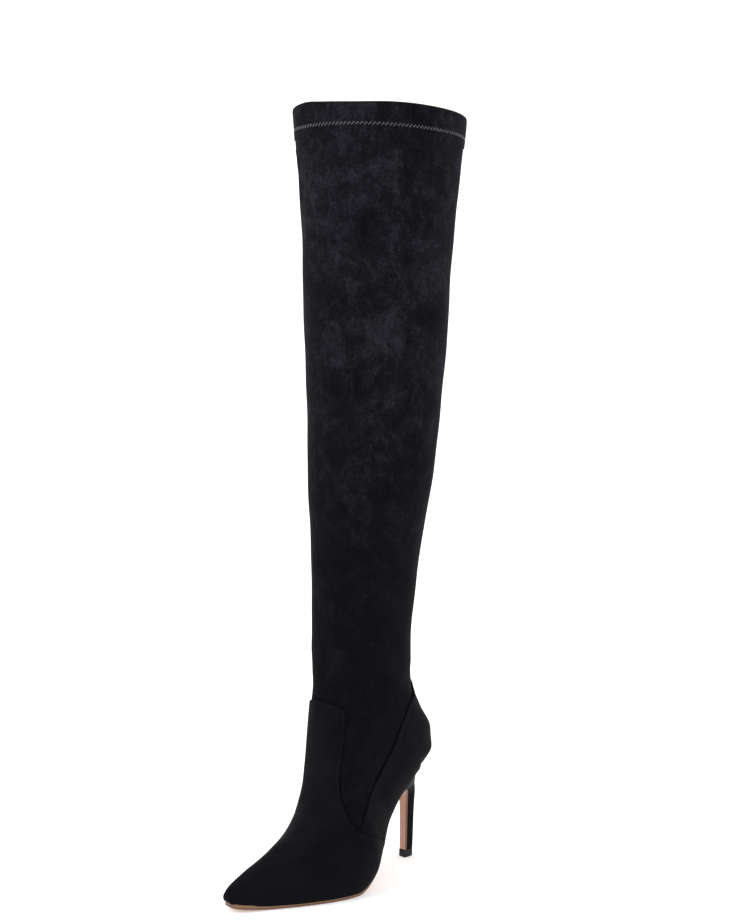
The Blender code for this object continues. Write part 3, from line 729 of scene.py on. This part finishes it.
def rim_wave(grid, share):
    """The collar's soft line: a shallow dip in front and a small peak over its inner corner."""
    across = grid[..., 0] * 0.70 - (grid[..., 1] - 42 * MM) * 0.71
    rise = COLLAR_PEAK * hump(across + 64 * MM, 9 * MM)
    rise -= COLLAR_DIP * hump(across + 26 * MM, 30 * MM)
    out = grid.copy()
    out[..., 2] += rise * share
    return out


def closed_rows(places):
    """Which rows are rings that meet behind."""
    return np.asarray(places) > SEAT - 1 * MM


def make_upper(mat):
    """Suede skin of the foot and shaft, turned in over the collar; returns a tree of its faces."""
    around = np.linspace(0, 1, SHAFT_COLUMNS + 1)
    places = np.array(evenly(6 * MM, ANKLE, FOOT_ROW) + evenly(ANKLE, RIM - HEM_ZONE, SHAFT_ROW)
                      + evenly(RIM - HEM_ZONE, RIM - ROLL, HEM_ROW))
    grid = form_grid(places, around)
    normals = grid_normals(grid, closed_rows(places))
    outside = draw_in(grid + normals * shaft_relief(grid, places, around)[..., None])
    outside = rim_wave(outside, near_rim(places))
    turned = []
    for angle in np.linspace(0, math.pi, 9):
        turned.append((RIM - ROLL + ROLL * math.sin(angle), HEM_STEP - ROLL + ROLL * math.cos(angle)))
    for depth in evenly(ROLL, FACING, 2 * MM)[1:]:
        turned.append((RIM - depth, -WALL))
    turned = np.array(turned)
    collar = form_grid(np.linspace(RIM - 30 * MM, RIM, 8), around)
    out = grid_normals(collar, np.ones(8, bool))[-2]
    inner = form_grid(turned[:, 0], around) + out[None] * turned[:, 1, None, None]
    inner = rim_wave(inner, near_rim(turned[:, 0]))
    bm = sheet_bmesh(np.concatenate([outside, inner]))
    face_away(bm)
    tree = BVHTree.FromBMesh(bm)
    finish_piece("upper_suede", bm, mat, ("upper",), 70)
    return tree


def make_lining(mat):
    """Jersey lining, from the collar's facing down to the toe."""
    around = np.linspace(0, 1, 113)
    places = np.array(evenly(8 * MM, RIM - FACING + 5 * MM, 5 * MM))
    grid = form_grid(places, around)
    normals = grid_normals(grid, closed_rows(places))
    inset = WALL - 0.15 * MM + 0.4 * MM * smooth_step((places - (RIM - FACING - 1 * MM)) / (4 * MM))
    grid = draw_in(grid - normals * inset[:, None, None])
    bm = sheet_bmesh(grid)
    face_away(bm, flip=True)
    finish_piece("lining", bm, mat)


# The overlays

OVERLAY_COLUMNS = 190
OVERLAY_ROW = 1.5 * MM
TUCK = 1.1 * MM
NOSE = 2.4 * MM
NOSE_ROWS = 6
TOE_UNDERCUT = 2.0 * MM


def tuck_under(grid, places):
    """The skin's two lower edges turned in under the foot, until they meet at the toe."""
    half = (grid[:, 0, 0] - grid[:, -1, 0]) / 2
    centre = (grid[:, 0] + grid[:, -1]) / 2
    shut = 1 - smooth_step((places - 2 * MM) / (9 * MM))
    tucked = []
    for column, side, edge in ((0, 1, 6), (-1, -1, 7)):
        line = grid[:, column]
        under = np.minimum(TUCK, np.maximum(0, sections(places)[:, edge]))
        under = np.maximum(under, half * shut)
        lines = []
        for share in (1.0, 0.55):
            moved = line.copy()
            moved[:, 0] -= side * under * share
            moved[:, 1:] += (centre - line)[:, 1:] * (shut * share)[:, None]
            moved[:, 2] -= 0.25 * MM * share * np.minimum(1, under / TUCK)
            lines.append(moved[:, None])
        tucked.append(lines)
    return np.concatenate(tucked[0] + [grid] + tucked[1][::-1], axis=1)


def add_nose(grid):
    """A rounded nose ahead of the skin's first row, closed at one point."""
    first = grid[0]
    pole = first.mean(0)
    pole[2] = between(first[:, 2].min(), first[:, 2].max(), 0.42)
    nose = []
    for k in range(NOSE_ROWS):
        a = math.pi / 2 * (1 - k / NOSE_ROWS)
        ring = pole + (first - pole) * math.cos(a)
        ring[:, 1] += NOSE * math.sin(a)
        nose.append(ring)
    return np.concatenate([np.array(nose), grid])


def foot_skin(creases):
    """Grid of the overlays' outside: the form of the foot with a rounded nose and its edge tucked under."""
    around = np.linspace(0, 1, OVERLAY_COLUMNS + 1)
    places = np.array(evenly(1 * MM, ANKLE + 12 * MM, OVERLAY_ROW))
    grid = form_grid(places, around)
    normals = grid_normals(grid, closed_rows(places))
    grid = draw_in(grid + normals * (GAP + OVERLAY + crease_relief(grid, creases))[..., None])
    ahead = smooth_step((grid[..., 1] - 198 * MM) / (17 * MM))
    low = smooth_step((11.5 * MM - grid[..., 2]) / (5 * MM))
    grid[..., 1] -= TOE_UNDERCUT * (ahead * low)
    return add_nose(tuck_under(grid, places))


def vamp_line_height(u):
    """Height of the vamp's seam at u, seen from the side."""
    at = [a * FOOT_LENGTH for a, _ in VAMP_SIDE][::-1]
    up = [b * VAMP_HEIGHT for _, b in VAMP_SIDE][::-1]
    return np.interp(u, at, up, left=-1)


def in_vamp(point):
    """Positive inside the vamp, zero on its edge."""
    x, u, z = point
    join = VAMP_SIDE[0][1] * VAMP_HEIGHT
    if z > join:
        flare = 1.0 if x > 0 else VAMP_INNER
        ups = [a * VAMP_HEIGHT for a, _ in VAMP_FRONT][::-1]
        halves = [(min(b, 1) + flare * max(0, b - 1)) * VAMP_HALF_WIDTH for _, b in VAMP_FRONT][::-1]
        if z > ups[-1] or u < VAMP_BACK * FOOT_LENGTH:
            return -MM
        return float(np.interp(z, ups, halves)) - abs(x)
    if u > VAMP_SIDE[0][0] * FOOT_LENGTH:
        return MM
    return float(vamp_line_height(u)) - z


def in_counter(point):
    """Positive inside the counter, zero on its edge."""
    _, u, z = point
    ups = [b * COUNTER_HEIGHT for _, b in COUNTER_SIDE][::-1]
    ats = [a * FOOT_LENGTH for a, _ in COUNTER_SIDE][::-1]
    edge = float(np.interp(z, ups, ats)) - u
    butt = z - float(vamp_line_height(u)) - SEAM_GAP
    return min(edge, butt)


def trim(bm, keep):
    """Cuts a sheet along the line where keep turns negative, and marks the new edge's vertices as cut."""
    cut = bm.verts.layers.int.new("cut")

    def value_at(co):
        return keep((co.x, ORIGIN_U - co.y, co.z))

    def crossing(a, b):
        low, high = 0.0, 1.0
        sign = value_at(a) > 0
        for _ in range(14):
            mid = (low + high) / 2
            if (value_at(a.lerp(b, mid)) > 0) == sign:
                low = mid
            else:
                high = mid
        return (low + high) / 2

    value = {v: value_at(v.co) for v in bm.verts}
    moved = {}
    for edge in bm.edges:
        a, b = edge.verts
        if (value[a] > 0) != (value[b] > 0):
            share = crossing(a.co, b.co)
            for vert, part in ((a, share), (b, 1 - share)):
                if part < 0.2 and (vert not in moved or part < moved[vert][0]):
                    moved[vert] = (part, a.co.lerp(b.co, share))
    for vert, (_, co) in moved.items():
        vert.co = co
        value[vert] = 0.0
        vert[cut] = 1
    for edge in list(bm.edges):
        a, b = edge.verts
        if value[a] * value[b] < 0:
            share = crossing(a.co, b.co)
            _, fresh = bmesh.utils.edge_split(edge, a, share)
            value[fresh] = 0.0
            fresh[cut] = 1
    marks = [v for v in bm.verts if v[cut]]
    bmesh.ops.connect_verts(bm, verts=marks)
    doomed = []
    for face in bm.faces:
        rest = [value[v] for v in face.verts if v in value and not v[cut]]
        if (rest and sum(rest) < 0) or (not rest and value_at(face.calc_center_median()) < 0):
            doomed.append(face)
    bmesh.ops.delete(bm, geom=doomed, context="FACES")
    loose = [v for v in bm.verts if not v.link_faces]
    bmesh.ops.delete(bm, geom=loose, context="VERTS")
    for vert in bm.verts:
        if not any(e.is_boundary for e in vert.link_edges):
            vert[cut] = 0
    bm.normal_update()
    return cut


def cut_edge_line(bm, cut):
    """The cut edge's vertices in order, its longest run."""
    marks = {v for v in bm.verts if v[cut]}
    links = {}
    for vert in marks:
        beside = [e.other_vert(vert) for e in vert.link_edges if e.is_boundary]
        links[vert] = [v for v in beside if v in marks]
    best = []
    left = set(marks)
    while left:
        ends = [v for v in left if len(links[v]) == 1]
        at = min(ends or left, key=lambda v: (round(v.co.x, 5), round(v.co.z, 5)))
        run = [at]
        left.discard(at)
        while True:
            ahead = [v for v in links[run[-1]] if v in left]
            if not ahead:
                break
            run.append(ahead[0])
            left.discard(ahead[0])
        if len(run) > len(best):
            best = run
    return as_array(v.co for v in best)


def raise_edge(bm, line, height, width):
    """Lifts the sheet in a soft bead along its cut edge."""
    verts = list(bm.verts)
    places = as_array(v.co for v in verts)
    best = np.full(len(verts), 1e9)
    for start in range(0, len(line), 40):
        part = line[start:start + 40]
        best = np.minimum(best, np.linalg.norm(places[:, None] - part[None], axis=2).min(1))
    normals = [v.normal.copy() for v in verts]
    for vert, normal, distance in zip(verts, normals, best):
        if distance < 3 * width:
            vert.co += normal * height * math.exp(-(distance / width) ** 2)
    bm.normal_update()


FOOT_CREASES = [
    (9.0, 1.5, [(-6, 213, 15), (-5, 206, 20), (-4, 197, 26)]),
    (9.0, 1.2, [(-6, 186, 30), (-6, 176, 36), (-6, 166, 41)]),
    (11.0, 1.0, [(-8, 158, 47), (-9, 146, 56), (-9, 134, 68)]),
    (9.0, -0.4, [(-20, 128, 80), (0, 127, 84), (24, 124, 78)]),
    (10.0, 0.5, [(-20, 118, 96), (0, 122, 100), (22, 118, 94)]),
    (10.0, -0.5, [(46, 120, 40), (40, 138, 46), (24, 150, 56)]),
    (8.0, -0.5, [(34, 40, 120), (36, 60, 104), (38, 80, 84)]),
    (8.0, 0.4, [(30, 20, 128), (34, 38, 108), (36, 60, 88)]),
]


def make_overlay(name, skin, keep, mat, replaced):
    """A panel of the foot with its raised edge; returns the edge's line and a tree of its outside."""
    bm = sheet_bmesh(skin)
    face_away(bm)
    cut = trim(bm, keep)
    line = cut_edge_line(bm, cut)
    raise_edge(bm, line, 0.22 * MM, 1.7 * MM)
    tree = BVHTree.FromBMesh(bm)
    obj = finish_piece(name, bm, mat, (replaced,), 60)
    give_wall(obj, OVERLAY, 0.2 * MM)
    return line, tree


# Stitches


def resample(line, run, at):
    """Points of a line at places along it; run holds the places of the points it has."""
    return np.stack([np.interp(at, run, line[:, k]) for k in range(3)], -1)


def walk(line, pitch):
    """Points about pitch apart along a line."""
    run = run_lengths(line)
    count = max(2, int(run[-1] / pitch))
    return resample(line, run, np.linspace(0, run[-1], count))


def settle(tree, point, lift):
    """The point of a skin nearest to a place, lifted off it, with the skin's normal there."""
    spot, normal, _, _ = tree.find_nearest(Vector(point))
    return spot + normal * lift, normal


# Rings of one bead as (place along it, radius), in shares of its half length and its radius
BEAD_RINGS = [(-1, 0), (-0.82, 0.6), (-0.35, 1), (0.35, 1), (0.82, 0.6), (1, 0)]
BEAD_LIFT = 0.35

# The hem's zigzag: half its height, the width of one leg, its lift, and the radii of its legs by turns
ZIGZAG_HALF = 1.5 * MM
ZIGZAG_STEP = 3.5 * MM
ZIGZAG_LIFT = 0.12 * MM
ZIGZAG_RADII = (0.08 * MM, 0.21 * MM)


def bead_rings(start, end, normal, radius):
    """One visible stitch: a slim bead from hole to hole."""
    along = (end - start) / 2
    side = along.cross(normal).normalized()
    up = side.cross(along).normalized()
    middle = (start + end) / 2
    rings = []
    for share, wide in BEAD_RINGS:
        ring = []
        for k in range(9):
            a = 2 * math.pi * k / 8
            out = side * math.cos(a) + up * math.sin(a)
            ring.append(tuple(middle + along * share * 1.08 + out * radius * wide))
        rings.append(ring)
    return rings


def finish_stitches(name, rings, mat):
    """All beads of one thread as one object."""
    bm = grid_bmesh(np.array(rings))
    bmesh.ops.delete(bm, geom=[e for e in bm.edges if not e.link_faces], context="EDGES")
    bmesh.ops.recalc_face_normals(bm, faces=bm.faces)
    return finish_piece(name, bm, mat, (), 90)


def stitch_row(tree, line, pitch, length, radius):
    """A row of stitches along a line that lies on a skin."""
    points = walk(line, pitch)
    rings = []
    for a, b in zip(points[:-1], points[1:]):
        a, b = Vector(a), Vector(b)
        half = (b - a).normalized() * length / 2
        middle = (a + b) / 2
        start, normal = settle(tree, middle - half, radius * BEAD_LIFT)
        end, _ = settle(tree, middle + half, radius * BEAD_LIFT)
        rings += bead_rings(start, end, normal, radius)
    return rings


def inset_line(tree, line, inset, lowest=0.0):
    """The part of a panel's edge above a height, moved into the panel along its skin."""
    ahead = np.roll(line, -3, axis=0) - np.roll(line, 3, axis=0)
    out = []
    for k in range(4, len(line) - 4):
        spot = Vector(line[k])
        if spot.z <= lowest:
            continue
        normal = tree.find_nearest(spot)[1]
        inward = Vector(ahead[k]).cross(normal).normalized() * inset
        moved = min((spot + inward, spot - inward), key=lambda p: tree.find_nearest(p)[3])
        out.append(tuple(moved))
    return np.array(out)


def make_hem_stitches(tree, mat):
    """Zigzag row that holds the collar's hem."""
    around = np.linspace(0, 1, 401)
    row = RIM - STITCH_DEPTH
    low, high = [place(line) for line in form_grid([row - ZIGZAG_HALF, row + ZIGZAG_HALF], around)]
    run = run_lengths(low)
    count = 2 * round(run[-1] / ZIGZAG_STEP)
    at = np.linspace(0, run[-1], count + 1)
    rows = [resample(line, run, at) for line in (low, high)]
    rings = []
    for k in range(count):
        start, normal = settle(tree, rows[k % 2][k], ZIGZAG_LIFT)
        end, _ = settle(tree, rows[(k + 1) % 2][k + 1], ZIGZAG_LIFT)
        rings += bead_rings(start, end, normal, ZIGZAG_RADII[k % 2])
    finish_stitches("hem_stitches", rings, mat)


def make_shaft_stitches(tree, mat):
    """Two fine rows beside the front seam and two beside the back seam."""
    rings = []
    seam = smooth_line([(x * MM, 0, z * MM) for x, z in FRONT_SEAM], 160)
    for side in (-1, 1):
        aside = side * 2.1 * MM
        front = [ray_place(tree, x + aside, z, ahead=True) for x, _, z in seam]
        back = [ray_place(tree, aside, z, ahead=False) for z in np.linspace(178 * MM, 652 * MM, 120)]
        for row in (front, back):
            rings += stitch_row(tree, as_array(p for p in row if p), 2.4 * MM, 1.5 * MM, 0.22 * MM)
    finish_stitches("shaft_stitches", rings, mat)


def make_panel_stitches(vamp, counter, mat):
    """A double row beside the counter's front seam and a single one round the vamp."""
    vamp_edge, vamp_tree = vamp
    counter_edge, counter_tree = counter
    rings = []
    for inset in (2.0, 4.2):
        row = inset_line(counter_tree, counter_edge, inset * MM, 62 * MM)
        rings += stitch_row(counter_tree, row, 2.6 * MM, 1.7 * MM, 0.24 * MM)
    row = inset_line(vamp_tree, vamp_edge, 2.2 * MM)
    rings += stitch_row(vamp_tree, row, 2.6 * MM, 1.7 * MM, 0.22 * MM)
    finish_stitches("panel_stitches", rings, mat)


def ray_place(tree, x, z, ahead):
    """Where a level line from far ahead or behind meets the shaft."""
    far = 0.4
    origin = Vector((x, -far if ahead else far, z))
    direction = Vector((0, 1 if ahead else -1, 0))
    spot = tree.ray_cast(origin, direction)[0]
    return tuple(spot) if spot else None


# The bottom


def line_normals(line):
    """Unit normals of a line (u, z) that runs from the toe to the heel, pointing up into the boot."""
    tangent = np.gradient(line, axis=0)
    tangent /= np.linalg.norm(tangent, axis=1, keepdims=True)
    return np.stack([tangent[:, 1], -tangent[:, 0]], -1)


def feather_rows(start, end, step):
    """Rows of the feather edge: its line (u, z), its outer x and its inner x."""
    rows = sections(evenly(start, end, step))
    return rows[:, :2], rows[:, 10] + rows[:, 6], rows[:, 10] - rows[:, 7]


def seat_height(u):
    """Height of the feather edge at u."""
    rows = sections(np.linspace(0, SEAT, 400))
    order = np.argsort(rows[:, 0])
    return float(np.interp(u, rows[order, 0], rows[order, 1]))


# The sole's cross section from its top edge to its underside: inset in millimetres, depth share, tag
SOLE_PROFILE = [
    (1.60, -0.20, 0.00), (0.22, -0.22, 0.04), (0.00, -0.10, 0.10), (0.00, 0.20, 0.18),
    (0.00, 0.46, 0.26), (0.16, 0.52, 0.30), (0.04, 0.58, 0.34), (0.10, 0.80, 0.45),
    (0.45, 0.96, 0.50), (1.00, 1.00, 0.62), (6.00, 1.00, 1.00),
]
# Where the sole's full rows begin along the toe, and how far its rounded nose stands ahead of them
SOLE_START = 5.4 * MM
SOLE_NOSE = 1.2 * MM
# The stem's lean comes in over LEAN_RISE above the tip, and fades over LEAN_FADE from that height on
LEAN_RISE = 54 * MM
LEAN_FADE = 28 * MM
LEAN_POWER = 0.8
# Rings of the top piece as (height, inset), in millimetres
TIP_RINGS = [(0.0, 0.5), (0.12, 0.2), (0.45, 0.0), (3.0, -0.05), (6.3, 0.0), (6.8, 0.15), (7.0, 0.45)]
# Half the sock's cross section: share of its half width, height in millimetres
SOCK_PROFILE = [(1, 0.2), (1, 1.5), (0.97, 1.9), (0.85, 2.05), (0.4, 1.95), (0, 1.9)]


def sole_ring(u, z, normal, outer, inner, thick):
    """One closed cross section of the sole."""
    ring = []
    for edge, sign, profile in ((outer, 1, SOLE_PROFILE), (inner, -1, SOLE_PROFILE[::-1])):
        for inset, depth, _ in profile:
            inset = min(inset * MM, 0.4 * abs(outer - inner))
            down = depth * thick
            ring.append((edge - sign * inset, u - normal[0] * down, z - normal[1] * down))
    return ring


def heel_table():
    """The heel's rings: front u, front z, back u, back z, half width, tip first."""
    tip_front = TIP_BACK + TIP_DEPTH
    bottom = TOP_PIECE_HEIGHT + GAP
    rows = [(tip_front, bottom, TIP_BACK, bottom, TIP_WIDTH / 2)]
    for front, back, spread, front_up, back_up in HEEL:
        rows.append((between(tip_front, BREAST_AT, front), front_up * HEEL_HEIGHT,
                     between(TIP_BACK, SEAT_BACK, back), back_up * HEEL_HEIGHT,
                     between(TIP_WIDTH, SEAT_WIDTH, spread) / 2))
    return np.array(rows)


def heel_rows(count):
    """Smooth rows of the heel between its tip and the flare's end, its stem leaning back."""
    table = heel_table()
    run = np.concatenate(([0], np.cumsum(np.hypot(np.diff(table[:, 0]), np.diff(table[:, 1])) + 0.5 * MM)))
    rows = read_curve(run, table, smooth_slopes(run, table), np.linspace(0, run[-1], count))
    for u, z in ((0, 1), (2, 3)):
        rise = np.clip((rows[:, z] - TOP_PIECE_HEIGHT) / LEAN_RISE, 0, 1) ** LEAN_POWER
        rows[:, u] -= HEEL_LEAN * rise * (1 - smooth_step((rows[:, z] - LEAN_RISE) / LEAN_FADE))
    return rows


def d_ring(front, back, half, front_z, back_z, power, count=20):
    """A ring with a flat front and a round back, rounder the lower its power."""
    points = []
    for k in range(count + 1):
        a = math.pi / 2 * k / count
        share = math.sin(a) ** (2 / power)
        x = half * (0.03 if k == count else math.cos(a) ** (2 / power))
        points.append((x, between(front, back, share), between(front_z, back_z, share)))
    return points + [(-x, u, z) for x, u, z in reversed(points)]


def make_outsole(mat):
    """Sole from the toe over the arch and down the front of the heel."""
    line, outer, inner = feather_rows(SOLE_START, RUN[11], 2.2 * MM)
    keep = line[:, 0] > BREAST_AT + SOLE_THICK
    line, outer, inner = line[keep], outer[keep] + SOLE_MARGIN, inner[keep] - SOLE_MARGIN
    rows = []
    for (u, z), a, b in zip(line, outer, inner):
        share = min(1.0, (z - FEATHER_BASE) / WAIST_RISE) if u < FOOT_LENGTH / 2 else 0.0
        rows.append((u, z, a, b, between(SOLE_THICK, WAIST_THICK, share)))
    corner = len(rows)
    rows.append((BREAST_AT, seat_height(BREAST_AT) - 0.9 * MM, SEAT_WIDTH / 2, -SEAT_WIDTH / 2, WAIST_THICK))
    for k, (front, front_z, _, _, half) in enumerate(heel_rows(60)[::-1]):
        rows.append((front, front_z, half, -half, between(WAIST_THICK, FLAP_THICK, min(1.0, k / 12))))
    rows = np.array(rows)
    for _ in range(3):
        near = slice(corner - 9, corner + 9)
        rows[near] = (rows[corner - 10:corner + 8] + 2 * rows[near] + rows[corner - 8:corner + 10]) / 4
    normals = line_normals(rows[:, :2])
    rings = []
    u, z, a, b, thick = rows[0]
    for k in range(7):
        turn = math.pi / 2 * (1 - (k + 0.35) / 7)
        half = (a - b) / 2 * math.cos(turn)
        ahead = u - normals[0][0] * GAP + SOLE_NOSE * math.sin(turn)
        low = z - normals[0][1] * GAP
        rings.append(sole_ring(ahead, low, normals[0], (a + b) / 2 + half, (a + b) / 2 - half, thick))
    for k, ((u, z, a, b, thick), normal) in enumerate(zip(rows, normals)):
        lowest = TOP_PIECE_HEIGHT + GAP if k > corner else 0
        z = max(z - normal[1] * GAP, lowest)
        rings.append(sole_ring(u - normal[0] * GAP, z, normal, a, b, thick))
    tags = [tag for _, _, tag in SOLE_PROFILE]
    bm = tube_bmesh(rings, tags + tags[::-1])
    finish_piece("outsole_leather", bm, mat, ("outsole",), 55)


def make_heel(mat):
    """Leather drawn over the stiletto, flaring to the seat."""
    rings = []
    for front, front_z, back, back_z, half in heel_rows(64):
        spread = (half - TIP_WIDTH / 2) / (SEAT_WIDTH - TIP_WIDTH) * 2
        power = between(TIP_POWER, HEEL_POWER, min(1.0, 3 * spread))
        rings.append(d_ring(front, back, half, front_z, back_z, power))
    last = np.array(rings[-1])
    seat = d_ring(BREAST_AT, SEAT_BACK + 0.1 * MM, SEAT_WIDTH / 2 + 0.2 * MM, 0, 0, HEEL_POWER)
    seat = np.array([(x, u, seat_height(u) - GAP) for x, u, _ in seat])
    for share in (0.25, 0.5, 0.75, 0.93):
        rings.append(last + (seat - np.array([0, 0, 0.9 * MM]) - last) * share)
    rings.append(seat - np.array([0, 0, 0.5 * MM]))
    rings.append(seat)
    rings = np.array(rings)
    rings = draw_in(rings, 0.6 * smooth_step((rings[..., 2] - 58 * MM) / (24 * MM)))
    finish_piece("heel_wrap", tube_bmesh(rings), mat, ("heel",), 50)


def make_top_piece(mat):
    """Rubber tip with softened rims."""
    front = TIP_BACK + TIP_DEPTH + GAP + FLAP_THICK
    rings = []
    for z, inset in TIP_RINGS:
        inset *= MM
        rings.append(d_ring(front - inset, TIP_BACK + inset, TIP_WIDTH / 2 - inset, z * MM, z * MM,
                            TIP_POWER, 14))
    finish_piece("top_piece_rubber", tube_bmesh(rings), mat, ("top_piece",), 50)


def make_insole(mat):
    """Sock lining over the board, its edges rounded off."""
    line, outer, inner = feather_rows(5 * MM, SEAT - 5 * MM, 3 * MM)
    rings = []
    for (u, z), normal, a, b in zip(line, line_normals(line), outer, inner):
        inset = 1.4 * MM + SEAT_TUCK * behind_heel(u)
        a, b = a - inset, b + inset
        half = (a - b) / 2
        if half < 1 * MM:
            continue
        middle = (a + b) / 2
        ring = [(middle + half * x, up) for x, up in SOCK_PROFILE]
        ring += [(2 * middle - x, up) for x, up in ring[-2::-1]]
        rings.append([(x, u + normal[0] * up * MM, z + normal[1] * up * MM) for x, up in ring])
    finish_piece("insole_sock", tube_bmesh(rings), mat, ("insole",), 50)


def make_rim_edge(mat):
    """Thin brown line of the lining's edge that shows along the top of the collar."""
    around = np.linspace(0, 1, 225)[:-1]
    collar = form_grid([RIM - 30 * MM, RIM - 0.3 * MM, RIM], around)
    normals = grid_normals(collar, np.zeros(3, bool))[1]
    rings = []
    for k in range(9):
        a = 2 * math.pi * k / 8
        offset = HEM_STEP - ROLL - 0.25 * MM + 0.45 * MM * math.cos(a)
        rings.append(collar[2] + normals * offset + np.array([0, 0, 0.4 * MM * math.sin(a)]))
    rings = rim_wave(np.array(rings), 1.0)
    bm = sheet_bmesh(np.concatenate([rings, rings[:, :1]], axis=1))
    bmesh.ops.recalc_face_normals(bm, faces=bm.faces)
    finish_piece("rim_edge", bm, mat, (), 90)


# The studio

# Soft boxes: name, place, size, power
LIGHTS = [
    ("key", (-0.55, -1.7, 1.5), (1.0, 1.4), 16),
    ("side", (1.7, 0.4, 1.1), (0.8, 1.6), 5),
    ("top", (-0.2, 0.3, 2.4), (1.6, 1.6), 10),
]


def make_floor():
    """White sweep from the floor up to a backdrop, square to the camera's view."""
    bm = bmesh.new()
    width, depth = 5.0, 2.4
    direction = Vector((-0.7071, 0.7071, 0))
    side = Vector((0.7071, 0.7071, 0))
    profile = [(-3.0, 0.0), (depth - 1.0, 0.0)]
    for k in range(1, 13):
        a = math.pi / 2 * k / 12
        profile.append((depth - 1.0 + math.sin(a), 1.0 - math.cos(a)))
    profile.append((depth, 4.5))
    line = [bm.verts.new(direction * y + Vector((0, 0, z)) - side * width) for y, z in profile]
    edges = [bm.edges.new(pair) for pair in zip(line[:-1], line[1:])]
    made = bmesh.ops.extrude_edge_only(bm, edges=edges)["geom"]
    moved = [g for g in made if isinstance(g, bmesh.types.BMVert)]
    bmesh.ops.translate(bm, verts=moved, vec=side * 2 * width)
    bmesh.ops.recalc_face_normals(bm, faces=bm.faces)
    n = Nodes("studio_white")
    white = n.finish((0.9, 0.9, 0.9), 1.0, specular_ior_level=0.0,
                     emission_color=(1, 1, 1, 1), emission_strength=0.28)
    add_object("studio_floor", bm, white)


def make_lights():
    """A white world and soft boxes that face the boot."""
    scene = bpy.context.scene
    scene.view_settings.view_transform = "Standard"
    world = bpy.data.worlds.new("studio_world")
    scene.world = world
    world.use_nodes = True
    background = world.node_tree.nodes["Background"].inputs
    background["Color"].default_value = (1, 1, 1, 1)
    background["Strength"].default_value = 0.92
    for name, location, size, power in LIGHTS:
        data = bpy.data.lights.new(name, "AREA")
        data.shape = "RECTANGLE"
        data.size, data.size_y = size
        data.energy = power
        lamp = bpy.data.objects.new(name, data)
        lamp.location = location
        lamp.rotation_euler = (Vector((0, 0, 0.3)) - Vector(location)).to_track_quat("-Z", "Y").to_euler()
        scene.collection.objects.link(lamp)


def main():
    stage_camera()
    foot = foot_suede()
    tree = make_upper(shaft_suede())
    make_lining(lining_cloth())
    skin = foot_skin(FOOT_CREASES)
    vamp = make_overlay("vamp_suede", skin, in_vamp, foot, "vamp")
    counter = make_overlay("counter_suede", skin, in_counter, foot, "counter")
    make_hem_stitches(tree, thread("hem_thread", (0.19, 0.19, 0.205)))
    make_shaft_stitches(tree, thread("shaft_thread", (0.012, 0.012, 0.015)))
    make_panel_stitches(vamp, counter, thread("panel_thread", (0.0052, 0.005, 0.0062)))
    make_outsole(sole_leather())
    make_heel(heel_wrap())
    make_top_piece(tip_rubber())
    make_insole(sock_leather())
    make_rim_edge(lining_cloth())
    make_floor()
    make_lights()


main()
